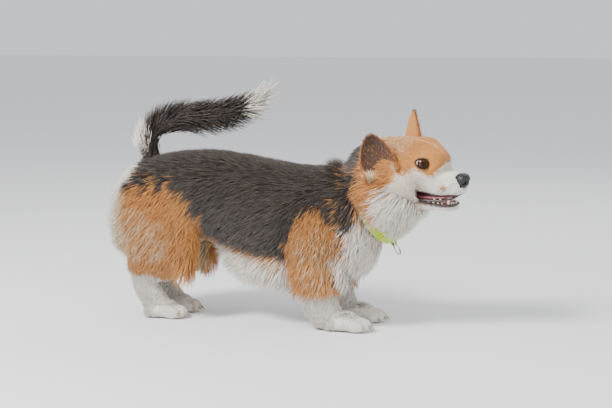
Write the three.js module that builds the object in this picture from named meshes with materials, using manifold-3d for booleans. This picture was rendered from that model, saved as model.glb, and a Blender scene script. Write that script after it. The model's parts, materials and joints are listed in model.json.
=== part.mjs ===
// A life-size standing corgi with a brush tail and a webbing collar, in millimetres.
// +X is the way the dog faces, +Y its left, +Z up, and the soles rest on z = 0.
// Every part is a loft: oval sections carried along a path. Long coat is fused on as flat, tapered locks.
import * as THREE from "three";
import { mergeVertices } from "three/addons/utils/BufferGeometryUtils.js";
import Module from "manifold-3d";

const wasm = await Module();
wasm.setup();

// Driving dimensions
const GAP = 0.32; // between touching parts
const COLLAR = { centre: [104, 0, 219], lean: 28, up: 71, side: 61, width: 22, wall: 2.4 };
const HEAD = { pivot: [108, 0, 281], yaw: -13.6, pitch: 2.5, roll: 9 };
const FORE_Y = 48; // sideways place of each forepaw
const HIND_Y = 33; // and of each hind paw
const EYE = { at: [102, 32.5, 24], radius: 10.5 };
const RIGHT = -1;
const LEFT = 1;

const v3 = (p) => new THREE.Vector3(...p);
const lerp = THREE.MathUtils.lerp;
const radians = THREE.MathUtils.degToRad;

// A seeded draw from 0 to 1, so that each build gives the same coat.
let seed = 20417;
function draw() {
  seed = (seed * 1664525 + 1013904223) % 4294967296;
  return seed / 4294967296;
}
const vary = (share) => 1 + share * (2 * draw() - 1);

// Solids
function solid(geometry) {
  const bare = geometry.index ? geometry.toNonIndexed() : geometry.clone();
  bare.deleteAttribute("normal");
  bare.deleteAttribute("uv");
  const merged = mergeVertices(bare, 1e-3);
  return new wasm.Manifold(
    new wasm.Mesh({
      numProp: 3,
      vertProperties: merged.attributes.position.array,
      triVerts: new Uint32Array(merged.index.array),
    }),
  );
}

// A closed net of faces as a solid, turned to face outwards.
function facingOut(points, faces) {
  const geometry = new THREE.BufferGeometry().setFromPoints(points);
  geometry.setIndex(faces);
  const body = solid(geometry);
  if (body.volume() > 0) return body;
  geometry.setIndex([...faces].reverse());
  return solid(geometry);
}

function largest(body) {
  return body.decompose().reduce((best, b) => (b.volume() > best.volume() ? b : best));
}

function join(...bodies) {
  return bodies.reduce((all, body) => all.add(body));
}

// The half of space ahead of a plane, as a large box whose near face lies on it.
const FAR = 900;
function ahead(point, normal) {
  const box = new THREE.BoxGeometry(FAR, FAR, FAR);
  box.translate(0, 0, FAR / 2);
  box.applyQuaternion(
    new THREE.Quaternion().setFromUnitVectors(new THREE.Vector3(0, 0, 1), normal.clone().normalize()),
  );
  box.translate(point.x, point.y, point.z);
  return solid(box);
}

// Keeps the body on one side of a plane, with half of the gap given up.
function keep(body, point, normal, side) {
  const n = normal.clone().normalize().multiplyScalar(side);
  return body.intersect(ahead(point.clone().addScaledVector(n, GAP / 2), n));
}

// Cuts a body clear of its neighbour by about the gap, whichever way the two meet.
const WAYS = [
  [0, 0, 0],
  [1, 0, 0],
  [-1, 0, 0],
  [0, 1, 0],
  [0, -1, 0],
  [0, 0, 1],
  [0, 0, -1],
];
function clear(body, ...others) {
  for (const other of others)
    for (const way of WAYS) body = body.subtract(other.translate(way.map((w) => w * 1.15 * GAP)));
  return body;
}

// Lofts
// A station is [x, y, z, side, up, down]: a centre and how far the oval reaches to each side, up and down.
function between(stations, t) {
  const last = stations.length - 1;
  const i = Math.min(Math.floor(t * last), last - 1);
  const f = t * last - i;
  const row = (k) => stations[THREE.MathUtils.clamp(k, 0, last)];
  return stations[0].map((_, c) => {
    const [a, b, d, e] = [row(i - 1)[c], row(i)[c], row(i + 1)[c], row(i + 2)[c]];
    const bend = (2 * a - 5 * b + 4 * d - e) * f * f + (3 * b - a - 3 * d + e) * f * f * f;
    return b + 0.5 * ((d - a) * f + bend);
  });
}

// A point of a loft: t runs along it, angle round it from the left side over the top.
function onLoft(loft, t, angle) {
  const s = between(loft.stations, t);
  const a = between(loft.stations, Math.max(t - 0.01, 0));
  const b = between(loft.stations, Math.min(t + 0.01, 1));
  const along = new THREE.Vector3(b[0] - a[0], b[1] - a[1], b[2] - a[2]).normalize();
  const side = new THREE.Vector3().crossVectors(v3(loft.up), along).normalize();
  const up = new THREE.Vector3().crossVectors(along, side);
  const round = (c) => Math.sign(c) * Math.pow(Math.abs(c), loft.power ?? 0.92);
  const [c, d] = [round(Math.cos(angle)), round(Math.sin(angle))];
  const point = new THREE.Vector3(s[0], s[1], s[2]);
  point.addScaledVector(side, c * s[3]).addScaledVector(up, d * (d > 0 ? s[4] : s[5]));
  return loft.shape ? loft.shape(point, along) : point;
}

function loftGeometry(loft) {
  const { along, round } = loft;
  const points = [];
  const faces = [];
  const ends = [0, 1].map((t) => {
    const s = between(loft.stations, t);
    return new THREE.Vector3(s[0], s[1], s[2]);
  });
  for (let i = 0; i <= along; i += 1)
    for (let j = 0; j < round; j += 1) {
      const t = loft.spread ? loft.spread(i / along) : i / along;
      points.push(onLoft(loft, t, (2 * Math.PI * j) / round));
    }
  const corner = (i, j) => i * round + (j % round);
  for (let i = 0; i < along; i += 1)
    for (let j = 0; j < round; j += 1) {
      const [a, b, c, d] = [corner(i, j), corner(i + 1, j), corner(i + 1, j + 1), corner(i, j + 1)];
      faces.push(a, d, b, b, d, c);
    }
  const [first, final] = [points.push(ends[0]) - 1, points.push(ends[1]) - 1];
  for (let j = 0; j < round; j += 1) {
    faces.push(first, corner(0, j + 1), corner(0, j));
    faces.push(final, corner(along, j), corner(along, j + 1));
  }
  const geometry = new THREE.BufferGeometry().setFromPoints(points);
  geometry.setIndex(faces);
  return geometry;
}

function loftSolid(loft) {
  const body = solid(loftGeometry(loft));
  if (body.volume() < 0) throw new Error("a loft is inside out");
  return body;
}

// The point and outward direction of a loft's skin.
function skinAt(loft, t, angle) {
  const here = onLoft(loft, t, angle);
  const step = 0.02;
  const forward = onLoft(loft, Math.min(t + step, 1), angle).sub(onLoft(loft, Math.max(t - step, 0), angle));
  const across = onLoft(loft, t, angle + step).sub(onLoft(loft, t, angle - step));
  return { here, out: new THREE.Vector3().crossVectors(across, forward).normalize() };
}

// Locks of long coat
// A flat, four-sided lock, widest a third of the way out, sunk at its root and bent down towards its lie.
const LOCK_RINGS = [
  { t: 0, wide: 0.72 },
  { t: 0.36, wide: 1 },
  { t: 0.72, wide: 0.66 },
];
function lock({ root, out, lie, length, width, thick, sink, lift, droop }) {
  const flow = lie.clone().addScaledVector(out, -lie.dot(out)).normalize();
  const start = root.clone().addScaledVector(out, -sink).addScaledVector(flow, -0.4 * sink);
  const spine = (t) =>
    start
      .clone()
      .addScaledVector(flow, length * t)
      .addScaledVector(out, (sink + lift) * Math.sin(1.57 * Math.min(1.25 * t, 1)) - droop * t * t * length);
  const points = [];
  for (const { t, wide } of LOCK_RINGS) {
    const along = spine(t + 0.05).sub(spine(t)).normalize();
    const side = new THREE.Vector3().crossVectors(out, along).normalize();
    const up = new THREE.Vector3().crossVectors(along, side);
    const half = 0.5 * width * wide;
    const high = 0.5 * thick * wide;
    points.push(spine(t).addScaledVector(side, half), spine(t).addScaledVector(up, high));
    points.push(spine(t).addScaledVector(side, -half), spine(t).addScaledVector(up, -high));
  }
  points.push(spine(1), spine(0));
  const tip = points.length - 2;
  const faces = [];
  for (let i = 0; i < LOCK_RINGS.length; i += 1)
    for (let j = 0; j < 4; j += 1) {
      const [a, b] = [4 * i + j, 4 * i + ((j + 1) % 4)];
      if (i === LOCK_RINGS.length - 1) faces.push(a, b, tip);
      else faces.push(a, b, a + 4, b, b + 4, a + 4);
      if (i === 0) faces.push(b, a, tip + 1);
    }
  return facingOut(points, faces);
}

// The named sizes of lock, in millimetres.
const LOCKS = {
  feather: { length: 27, width: 14, lift: 4, thick: 5 },
  ruff: { length: 40, width: 21, lift: 7, thick: 6.5 },
  fringe: { length: 46, width: 24, lift: 6, thick: 7 },
  breech: { length: 42, width: 21, lift: 8, thick: 7 },
  brush: { length: 46, width: 17, lift: 11, thick: 6 },
};
// Rows of locks on a loft, each row between two angles in degrees. Every other row is set off by half a lock.
function coat(loft, kind, rows, frame = { place: (p) => p, turn: (d) => d }) {
  const made = [];
  const { length, width, lift, thick } = LOCKS[kind];
  rows.forEach(({ t, from, to, count, lie, scale = 1 }, r) => {
    for (let i = 0; i < count; i += 1) {
      const f = (i + 0.38 + 0.24 * (r % 2) + 0.2 * (draw() - 0.5)) / count;
      const { here, out } = skinAt(loft, t, radians(lerp(from, to, f)));
      made.push(
        lock({
          root: frame.place(here),
          out: frame.turn(out),
          lie: frame.turn(v3(lie)),
          length: length * scale * vary(0.16),
          width: width * scale * vary(0.12),
          thick,
          sink: 7,
          lift: lift * vary(0.25),
          droop: 0.1,
        }),
      );
    }
  });
  return join(...made);
}
// The same row at several places along a loft.
const repeat = (places, row) => places.map((t) => ({ ...row, t }));
// The same row on the other side of an upright loft.
const otherSide = (row) => ({ ...row, from: 540 - row.to, to: 540 - row.from });

// Torso
// One barrel from the rump to the breastbone. Each row is [x, top, bottom, half width].
const BARREL = [
  [-384, 214, 168, 16],
  [-372, 236, 140, 48],
  [-352, 262, 124, 72],
  [-322, 284, 116, 88],
  [-282, 299, 118, 94],
  [-235, 307, 132, 92],
  [-190, 308, 140, 88],
  [-145, 304, 120, 88],
  [-98, 296, 100, 93],
  [-48, 288, 88, 97],
  [5, 286, 84, 97],
  [50, 289, 90, 93],
  [84, 284, 104, 82],
  [107, 262, 124, 62],
  [121, 228, 150, 26],
];
const WIDEST = 0.48; // the height of the widest line of the barrel, as a share of its depth
const torsoLoft = {
  stations: BARREL.map(([x, top, bottom, half]) => {
    const z = lerp(bottom, top, WIDEST);
    return [x, 0, z, half, top - z, z - bottom];
  }),
  up: [0, 0, 1],
  along: 18,
  round: 18,
};

// Shoulder and upper arm, one side. A swell that carries the foreleg.
const shoulderLoft = (side) => ({
  stations: [
    [22, side * 46, 252, 14, 18, 18],
    [16, side * 58, 225, 34, 38, 40],
    [10, side * 64, 185, 38, 48, 52],
    [6, side * 63, 145, 35, 46, 50],
    [8, side * 56, 108, 28, 37, 40],
    [12, side * 52, 84, 25, 34, 36],
    [19, side * 50, 60, 24, 33, 34],
    [27, side * 49, 38, 23, 31, 32],
    [36, side * FORE_Y, 20, 22, 28, 30],
    [40, side * FORE_Y, 12, 12, 16, 16],
  ],
  up: [1, 0, 0],
  along: 12,
  round: 10,
});
const ELBOW = { z: 112 }; // the level where the foreleg meets the torso

// Thigh and lower leg, one side, then the hock down to the paw.
const thighLoft = (side) => ({
  stations: [
    [-290, side * 42, 262, 16, 30, 30],
    [-290, side * 52, 238, 36, 66, 66],
    [-288, side * 58, 205, 41, 92, 88],
    [-288, side * 60, 168, 40, 96, 90],
    [-288, side * 56, 136, 36, 90, 84],
    [-296, side * 48, 110, 29, 68, 64],
    [-312, side * 40, 88, 23, 40, 38],
    [-319, side * 36, 66, 20, 27, 27],
    [-308, side * 34, 42, 19, 24, 24],
    [-294, side * HIND_Y, 22, 19, 23, 24],
    [-290, side * HIND_Y, 12, 10, 12, 12],
  ],
  up: [1, 0, 0],
  along: 15,
  round: 12,
});
const HOCK = { z: 84 }; // the level where the hock meets the thigh

// The hind quarter that shows is parted from the torso by an upright plane on each side.
const HIP = { x: -285, y: 50, z: 250, turn: 0.12 };

// Paw: a low pad and four toes with a claw each, resting flat on the floor.
const TOES = [
  { y: -17, reach: -7, size: 0.9 },
  { y: -6, reach: 0, size: 1 },
  { y: 6, reach: 0, size: 1 },
  { y: 17, reach: -7, size: 0.9 },
];
const ANKLE = { fore: 30, hind: 27 }; // the level where each paw meets its leg
function paw(side, heel, y, scale) {
  const pad = {
    stations: [
      [heel, y, 13, 6, 4, 8],
      [heel + 9 * scale, y, 13, 20, 15, 15],
      [heel + 28 * scale, y, 14, 25, 21, 16],
      [heel + 48 * scale, y, 14, 26, 18, 16],
      [heel + 64 * scale, y, 12, 22, 10, 14],
      [heel + 70 * scale, y, 10, 8, 4, 8],
    ],
    up: [0, 0, 1],
    along: 5,
    round: 10,
  };
  const pieces = [loftSolid(pad)];
  for (const toe of TOES) {
    const centre = [heel + (66 + toe.reach) * scale, y + toe.y * scale, 11];
    const ball = new THREE.SphereGeometry(1, 7, 5);
    ball.scale(17 * toe.size * scale, 8.4 * toe.size * scale, 14 * toe.size);
    ball.translate(...centre);
    const claw = new THREE.ConeGeometry(2.6, 13, 4);
    claw.rotateZ(-Math.PI / 2 - 0.42);
    claw.translate(centre[0] + 18 * toe.size * scale, centre[1], 8);
    pieces.push(solid(ball), solid(claw));
  }
  return join(...pieces);
}

// Tail: a root that rises from the rump and a brush that bends forward over the back.
const tailLoft = {
  stations: [
    [-316, 0, 262, 20, 20, 20],
    [-322, 0, 288, 23, 22, 24],
    [-320, 0, 314, 23, 21, 25],
    [-306, 2, 340, 22, 20, 24],
    [-276, 4, 357, 21, 20, 21],
    [-238, 6, 363, 21, 20, 21],
    [-198, 8, 368, 21, 20, 21],
    [-160, 9, 376, 19, 19, 20],
    [-128, 10, 389, 14, 15, 17],
    [-104, 10, 407, 8, 8, 8],
    [-86, 10, 421, 2, 2, 2],
  ],
  up: [0, 1, 0],
  along: 16,
  round: 8,
};
const TAIL_CUTS = [
  { at: [-310, 0, 334], normal: [0.55, 0.03, 0.83] },
  { at: [-215, 7, 366], normal: [1, 0.05, 0.1] },
];

// Neck, from under the collar to the back of the skull.
const lean = radians(COLLAR.lean);
const collarAxis = new THREE.Vector3(Math.cos(lean), 0, Math.sin(lean));
const collarCentre = v3(COLLAR.centre);
const NECK_START = -COLLAR.width / 2 - 2; // along the collar's axis, from its middle
const HEAD_CUT = { at: [136, -6, 258], normal: [0.84, -0.16, 0.52] };
const NECK_SIDE = COLLAR.side - GAP;
const NECK_UP = COLLAR.up - GAP;
const along = (step, sideways, lift) => [
  COLLAR.centre[0] + step * collarAxis.x - lift * collarAxis.z,
  sideways,
  COLLAR.centre[2] + step * collarAxis.z + lift * collarAxis.x,
];
const neckLoft = {
  stations: [
    [...along(-46, 0, 0), 66, 72, 72],
    [...along(-24, 0, 0), NECK_SIDE, NECK_UP, NECK_UP],
    [...along(-12, 0, 0), NECK_SIDE, NECK_UP, NECK_UP],
    [...along(0, 0, 0), NECK_SIDE, NECK_UP, NECK_UP],
    [...along(12, 0, 0), NECK_SIDE, NECK_UP, NECK_UP],
    [...along(28, -3, 4), 68, 72, 76],
    [...along(44, -7, 10), 71, 66, 78],
    [...along(64, -12, 16), 66, 60, 74],
    [...along(84, -16, 18), 46, 46, 58],
  ],
  up: [0, 0, 1],
  along: 14,
  round: 20,
};

// Head, in its own frame: +X to the nose, the pivot at the back of the skull.
// Each row is [x, top, bottom, half width].
const SKULL = [
  [-34, 24, -34, 24],
  [-22, 40, -52, 46],
  [0, 52, -64, 58],
  [24, 60, -70, 64],
  [48, 64, -70, 65],
  [70, 65, -62, 60],
  [90, 62, -50, 51],
  [104, 54, -40, 42],
  [115, 40, -35, 34],
  [125, 24, -32, 29],
  [137, 14, -31, 26],
  [150, 8.5, -29, 23.5],
  [160, 5, -27, 20],
  [168, 0, -23, 12],
];
// A bump swells the skin outwards, or hollows it, round a point: [x, y, z, radius, height].
const BUMPS = [
  [98, 24, 44, 14, 4.5], // brow
  [107, 38, 24, 13, -8], // eye socket
  [92, 44, 4, 18, 5], // cheekbone
  [44, 62, -30, 30, 6], // cheek fur
  [148, 20, -18, 11, 2.4], // whisker pad
];
const headShape = (point) => {
  const moved = point.clone();
  const mid = new THREE.Vector3(point.x, 0, -6);
  const out = point.clone().sub(mid).normalize();
  for (const [x, y, z, radius, height] of BUMPS)
    for (const s of [RIGHT, LEFT]) {
      const d = point.distanceTo(new THREE.Vector3(x, s * y, z)) / radius;
      moved.addScaledVector(out, height * Math.exp(-d * d));
    }
  const groove = Math.exp(-((point.y / 7) ** 2)) * Math.exp(-(((point.x - 98) / 22) ** 2));
  if (point.z > 0) moved.z -= 3 * groove;
  return moved;
};
const skullLoft = {
  stations: SKULL.map(([x, top, bottom, half]) => {
    const z = lerp(bottom, top, 0.5);
    return [x, 0, z, half, top - z, z - bottom];
  }),
  up: [0, 0, 1],
  along: 27,
  round: 24,
  power: 0.86,
  shape: headShape,
};

const NOSE = { at: [166, 0, -6], size: [12, 15, 12.5] };
const NOSTRIL = { at: [176, 7.4, -6.5], size: [7, 3.2, 3.6] };

// Lower jaw, dropped a little, with its lip, teeth and tongue.
const jawLoft = {
  stations: [
    [60, 0, -52, 27, 10, 12],
    [76, 0, -53, 29, 11, 12],
    [96, 0, -53, 26, 9, 10],
    [116, 0, -54, 21.5, 6, 8],
    [134, 0, -55, 18, 5.5, 7],
    [146, 0, -55, 14.5, 5.5, 6.5],
    [153, 0, -54.5, 9, 5, 5.5],
    [156, 0, -54, 3, 2.5, 3],
  ],
  up: [0, 0, 1],
  along: 10,
  round: 12,
  power: 0.8,
};
const TEETH = [
  { x: 152, y: 2.2, high: 4.5, wide: 1.9 },
  { x: 150.5, y: 6, high: 5, wide: 2.1 },
  { x: 144, y: 11, high: 11.5, wide: 3.4 },
  { x: 130, y: 14, high: 5.5, wide: 3.4 },
  { x: 116, y: 16.6, high: 6, wide: 3.8 },
];
const GUM = -50.5; // where the lower teeth leave the jaw
const tongueLoft = {
  stations: [
    [92, 0, -41, 9, 2, 2],
    [102, 0, -41, 12, 3, 2.2],
    [116, 0, -42.5, 11.5, 3, 2.2],
    [130, 0, -44.5, 9.5, 2.6, 2],
    [138, 0, -45.5, 6.5, 2, 1.6],
    [141, 0, -46, 2, 1, 0.8],
  ],
  up: [0, 0, 1],
  along: 8,
  round: 10,
};

// Ear: a thin leaf bent into a cup, its root sunk in the skull.
const EARS = [
  { side: RIGHT, root: [50, -47, 14], tip: [-0.42, -0.34, 0.84], open: [0.5, -0.85, 0.1], long: 84 },
  { side: LEFT, root: [48, 38, 34], tip: [0.1, 0.26, 0.96], open: [0.66, 0.74, 0.05], long: 78 },
];
const EAR = { half: 31, bend: 1.15, thick: 4.4, rows: 8, columns: 6, sunk: 16 };
// Half width of the ear along its length: widest near the root, round at the tip.
const earHalf = (v) => EAR.half * Math.pow(Math.max(1 - v, 0), 0.6) * (1 + 0.34 * Math.sin(Math.PI * v));
function ear({ side, root, tip, open, long }) {
  const rise = v3(tip).normalize();
  const face = v3(open);
  face.addScaledVector(rise, -face.dot(rise)).normalize();
  const across = new THREE.Vector3().crossVectors(rise, face).multiplyScalar(side);
  const { rows, columns } = EAR;
  const sheet = (inner) => {
    const grid = [];
    for (let i = 0; i <= rows; i += 1)
      for (let j = 0; j <= columns; j += 1) {
        const v = (0.985 * i) / rows;
        const edge = (2 * j) / columns - 1;
        const turn = EAR.bend * edge * (1 - 0.4 * v);
        const wall = inner * EAR.thick * (1 - 0.55 * v) * (1 - 0.5 * edge ** 4);
        const radius = earHalf(v) / Math.sin(EAR.bend * (1 - 0.4 * v)) - wall;
        const deep = earHalf(v) / Math.sin(EAR.bend * (1 - 0.4 * v));
        const point = v3(root).addScaledVector(rise, (long + EAR.sunk) * v - EAR.sunk);
        point.addScaledVector(across, radius * Math.sin(turn));
        point.addScaledVector(face, 0.72 * deep - radius * Math.cos(turn) - 6 * v * v);
        grid.push(point);
      }
    return grid;
  };
  const points = [...sheet(0), ...sheet(1)];
  const count = (rows + 1) * (columns + 1);
  const at = (layer, i, j) => layer * count + i * (columns + 1) + j;
  const faces = [];
  const quad = (a, b, c, d) => faces.push(a, b, c, a, c, d);
  for (let i = 0; i < rows; i += 1)
    for (let j = 0; j < columns; j += 1) {
      quad(at(0, i, j), at(0, i + 1, j), at(0, i + 1, j + 1), at(0, i, j + 1));
      quad(at(1, i, j), at(1, i, j + 1), at(1, i + 1, j + 1), at(1, i + 1, j));
    }
  for (let i = 0; i < rows; i += 1) {
    quad(at(0, i, 0), at(1, i, 0), at(1, i + 1, 0), at(0, i + 1, 0));
    quad(at(0, i, columns), at(0, i + 1, columns), at(1, i + 1, columns), at(1, i, columns));
  }
  for (let j = 0; j < columns; j += 1) {
    quad(at(0, 0, j), at(0, 0, j + 1), at(1, 0, j + 1), at(1, 0, j));
    quad(at(0, rows, j), at(1, rows, j), at(1, rows, j + 1), at(0, rows, j + 1));
  }
  return facingOut(points, faces);
}

// A rim of lid or lip: a thin round strip along a curve, its ends closed.
function strip(points, radius, steps, sides) {
  const curve = new THREE.CatmullRomCurve3(points.map(v3));
  const shape = new THREE.Shape().absarc(0, 0, radius, 0, 2 * Math.PI);
  return solid(
    new THREE.ExtrudeGeometry(shape, { steps, extrudePath: curve, curveSegments: sides, bevelEnabled: false }),
  );
}

const headTurn = new THREE.Matrix4().makeRotationFromEuler(
  new THREE.Euler(radians(HEAD.roll), radians(HEAD.pitch), radians(HEAD.yaw), "ZYX"),
);
const headPlace = headTurn.clone().setPosition(...HEAD.pivot);
const inWorld = (body) => body.transform(headPlace.elements);
const placeHead = (p) => p.clone().applyMatrix4(headPlace);
const turnHead = (d) => d.clone().applyMatrix4(headTurn);

// Materials
const paint = (color, roughness, metalness = 0) =>
  new THREE.MeshStandardMaterial({ color, roughness, metalness });
const MATERIALS = {
  sable: paint(0x3a322e, 0.85),
  tan: paint(0xd9934a, 0.85),
  white: paint(0xf1e9de, 0.85),
  leather: paint(0x1c1a1c, 0.4),
  eye: paint(0x3b2010, 0.08),
  tongue: paint(0xc9848a, 0.45),
  webbing: paint(0xc3e02a, 0.6),
  steel: paint(0xb9b9bd, 0.25, 1),
};

const dog = new THREE.Group();
const solids = new Map();
function node(name, body, material) {
  const part = largest(body);
  const made = part.getMesh();
  const n = made.numProp;
  const positions = new Float32Array(made.numVert * 3);
  for (let i = 0; i < made.numVert; i += 1) {
    positions.set(made.vertProperties.subarray(i * n, i * n + 3), i * 3);
  }
  const geometry = new THREE.BufferGeometry();
  geometry.setAttribute("position", new THREE.BufferAttribute(positions, 3));
  geometry.setIndex(new THREE.BufferAttribute(made.triVerts, 1));
  const mesh = new THREE.Mesh(geometry, MATERIALS[material]);
  mesh.name = name;
  dog.add(mesh);
  solids.set(name, part);
}

// The floor takes a thin slice off each sole.
const onFloor = (body) => body.intersect(ahead(new THREE.Vector3(0, 0, 0), new THREE.Vector3(0, 0, 1)));
const level = (z) => new THREE.Vector3(0, 0, z);
const UP = new THREE.Vector3(0, 0, 1);

const neckCut = collarCentre.clone().addScaledVector(collarAxis, NECK_START);
const headCut = v3(HEAD_CUT.at);
const headNormal = v3(HEAD_CUT.normal);

// Forelegs and hind legs
const SIDES = [
  { side: RIGHT, name: "right" },
  { side: LEFT, name: "left" },
];
// The same loft, larger all round, its ends included.
function grown(loft, by) {
  const stations = loft.stations.map(([x, y, z, side, up, down]) => [x, y, z, side + by, up + by, down + by]);
  const reach = (from, to) => {
    const step = new THREE.Vector3(to[0] - from[0], to[1] - from[1], to[2] - from[2]).setLength(by);
    from[0] -= step.x;
    from[1] -= step.y;
    from[2] -= step.z;
  };
  reach(stations[0], stations[1]);
  reach(stations[stations.length - 1], stations[stations.length - 2]);
  return { ...loft, stations };
}
const hipPlane = (side) => ({
  at: new THREE.Vector3(HIP.x, side * HIP.y, HIP.z),
  normal: new THREE.Vector3(0, side, -HIP.turn),
});

const barrel = loftSolid(torsoLoft);
const trunk = keep(join(...SIDES.map(({ side }) => loftSolid(shoulderLoft(side)))), level(ELBOW.z), UP, 1);
const torsoRoom = loftSolid(grown(torsoLoft, GAP));
const FEATHERS = repeat([0.52, 0.62], { from: 240, to: 285, count: 3, lie: [-0.5, 0, -1] });
const BREECHES = repeat([0.24, 0.33, 0.42], { from: 222, to: 264, count: 3, lie: [-0.45, 0, -1] });

let body = join(barrel, trunk);
const thighs = [];
for (const { side, name } of SIDES) {
  const mirrored = (rows) => (side > 0 ? rows.map(otherSide) : rows);
  const leg = loftSolid(shoulderLoft(side));
  const shin = keep(keep(leg, level(ELBOW.z), UP, -1).subtract(torsoRoom), level(ANKLE.fore), UP, 1);
  const feathers = coat(shoulderLoft(side), "feather", mirrored(FEATHERS));
  const fore = largest(shin).add(feathers.subtract(ahead(level(ELBOW.z - 4), UP)).subtract(torsoRoom));
  node(`foreleg_${name}`, fore.intersect(ahead(level(ANKLE.fore + GAP / 2), UP)), "white");
  const foot = join(paw(side, 27, side * FORE_Y, 1.06), leg);
  node(`forepaw_${name}`, onFloor(keep(foot, level(ANKLE.fore), UP, -1)), "white");

  const quarter = loftSolid(thighLoft(side));
  const { at, normal } = hipPlane(side);
  body = body.subtract(loftSolid(grown(thighLoft(side), 2 * GAP)).intersect(ahead(at, normal)));
  const thigh = largest(keep(keep(quarter, at, normal, 1), level(HOCK.z), UP, 1));
  const breeches = coat(thighLoft(side), "breech", mirrored(BREECHES))
    .subtract(torsoRoom)
    .intersect(ahead(level(HOCK.z + 2), UP))
    .intersect(ahead(new THREE.Vector3(0, 2 * side, 0), new THREE.Vector3(0, side, 0)));
  thighs.push({ name, made: thigh.add(breeches) });
  node(`hock_${name}`, keep(keep(quarter, level(HOCK.z), UP, -1), level(ANKLE.hind), UP, 1), "white");
  const hind = join(paw(side, -318, side * HIND_Y, 0.98), quarter);
  node(`hindpaw_${name}`, onFloor(keep(hind, level(ANKLE.hind), UP, -1)), "white");
}

// Torso, with the bib in front, the fringe of the belly and the tuft on the nape
const BIB = [
  { t: 0.8, from: 222, to: 318, count: 5, lie: [0.35, 0, -1] },
  { t: 0.87, from: 205, to: 335, count: 7, lie: [0.45, 0, -1] },
  { t: 0.93, from: 195, to: 345, count: 7, lie: [0.45, 0, -1] },
];
const FRINGE_PLACES = [0.44, 0.49, 0.54, 0.59, 0.64, 0.69, 0.74];
const FRINGE = [
  ...repeat(FRINGE_PLACES, { from: 226, to: 252, count: 2, lie: [-0.55, -0.12, -0.9] }),
  ...repeat(FRINGE_PLACES, { from: 288, to: 314, count: 2, lie: [-0.55, 0.12, -0.9] }),
];
const NAPE = [{ t: 0.86, from: 70, to: 112, count: 4, lie: [-1, 0, 0.2], scale: 0.8 }];
const tail = loftSolid(tailLoft).subtract(loftSolid(grown(torsoLoft, -10)));
const tailRoom = loftSolid(grown(tailLoft, GAP));
const longCoat = join(
  coat(torsoLoft, "ruff", BIB),
  coat(torsoLoft, "fringe", FRINGE),
  coat(torsoLoft, "ruff", NAPE),
);
const FORELEG_CLEARANCE = 1.5;
const wideForelegs = SIDES.map(({ side }) => loftSolid(grown(shoulderLoft(side), FORELEG_CLEARANCE)));
const forelegRoom = keep(join(...wideForelegs), level(ELBOW.z + GAP), UP, -1);
const dressed = body.subtract(tailRoom).add(longCoat.subtract(forelegRoom));
const forelegs = SIDES.map(({ name }) => solids.get(`foreleg_${name}`));
const torso = largest(clear(keep(dressed, neckCut, collarAxis, -1), ...forelegs));
node("torso", torso, "sable");
for (const { name, made } of thighs) node(`thigh_${name}`, clear(made, torso), "tan");

// Tail in three lengths, with its brush
const BRUSH_PLACES = {
  root: [0.2, 0.3, 0.38],
  middle: [0.46, 0.53, 0.6],
  tip: [0.67, 0.74, 0.81, 0.88],
};
const brushRow = (from, to, count, lie) => ({ from, to, count, lie });
const [bend, brush] = TAIL_CUTS.map(({ at, normal }) => ({ at: v3(at), normal: v3(normal) }));
const rootBrush = coat(tailLoft, "brush", repeat(BRUSH_PLACES.root, brushRow(120, 240, 3, [-0.5, 0, 1])));
const middleBrush = coat(tailLoft, "brush", repeat(BRUSH_PLACES.middle, brushRow(0, 360, 5, [1, 0, 0.15])));
const tipBrush = coat(tailLoft, "brush", repeat(BRUSH_PLACES.tip, brushRow(0, 360, 5, [1, 0, 0.6])));
const piece = (core, locks, ...cuts) =>
  cuts.reduce((cut, [place, side]) => keep(cut, place.at, place.normal, side), join(core, locks));
node("tail_root", clear(piece(tail, rootBrush, [bend, -1]), torso), "sable");
node("tail_middle", piece(tail, middleBrush, [bend, 1], [brush, -1]), "sable");
node("tail_tip", piece(tail, tipBrush, [brush, 1]), "white");

// Neck and collar
function band(inner, outer, half) {
  const shape = new THREE.Shape().absellipse(0, 0, outer[0], outer[1], 0, 2 * Math.PI);
  shape.holes.push(new THREE.Path().absellipse(0, 0, inner[0], inner[1], 0, 2 * Math.PI));
  const ring = new THREE.ExtrudeGeometry(shape, { depth: 2 * half, bevelEnabled: false, curveSegments: 14 });
  ring.translate(0, 0, -half);
  const side = new THREE.Vector3(0, 1, 0);
  const rise = new THREE.Vector3().crossVectors(collarAxis, side);
  ring.applyMatrix4(new THREE.Matrix4().makeBasis(side, rise, collarAxis));
  ring.translate(...COLLAR.centre);
  return solid(ring);
}
const { side: bandSide, up: bandUp, wall, width } = COLLAR;
const collar = band([bandSide, bandUp], [bandSide + wall, bandUp + wall], width / 2);
const room = band([bandSide - GAP, bandUp - GAP], [bandSide + 60, bandUp + 60], width / 2 + GAP);
const neck = keep(keep(loftSolid(neckLoft).subtract(room), neckCut, collarAxis, 1), headCut, headNormal, -1);

// The split ring hangs from a small loop of webbing under the throat.
const RING = { radius: 11.5, wire: 1.3, raised: 1.5 };
const LOOP = { at: bandUp + wall, high: 5, half: 4.5, thick: 2.2, sunk: 1.4 };
const under = (down, step, sideways = 0) =>
  collarCentre
    .clone()
    .addScaledVector(collarAxis, step)
    .add(new THREE.Vector3(down * collarAxis.z, sideways, -down * collarAxis.x));
const loopShape = new THREE.Shape().absarc(0, 0, LOOP.high, 0, 2 * Math.PI);
loopShape.holes.push(new THREE.Path().absarc(0, 0, LOOP.high - LOOP.thick, 0, 2 * Math.PI));
const loopSettings = { depth: 2 * LOOP.half, bevelEnabled: false, curveSegments: 10 };
const loopRing = new THREE.ExtrudeGeometry(loopShape, loopSettings);
loopRing.translate(0, 0, -LOOP.half);
loopRing.rotateX(Math.PI / 2);
loopRing.rotateY(-lean);
loopRing.translate(...under(LOOP.at + LOOP.high - LOOP.sunk, 0).toArray());
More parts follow.
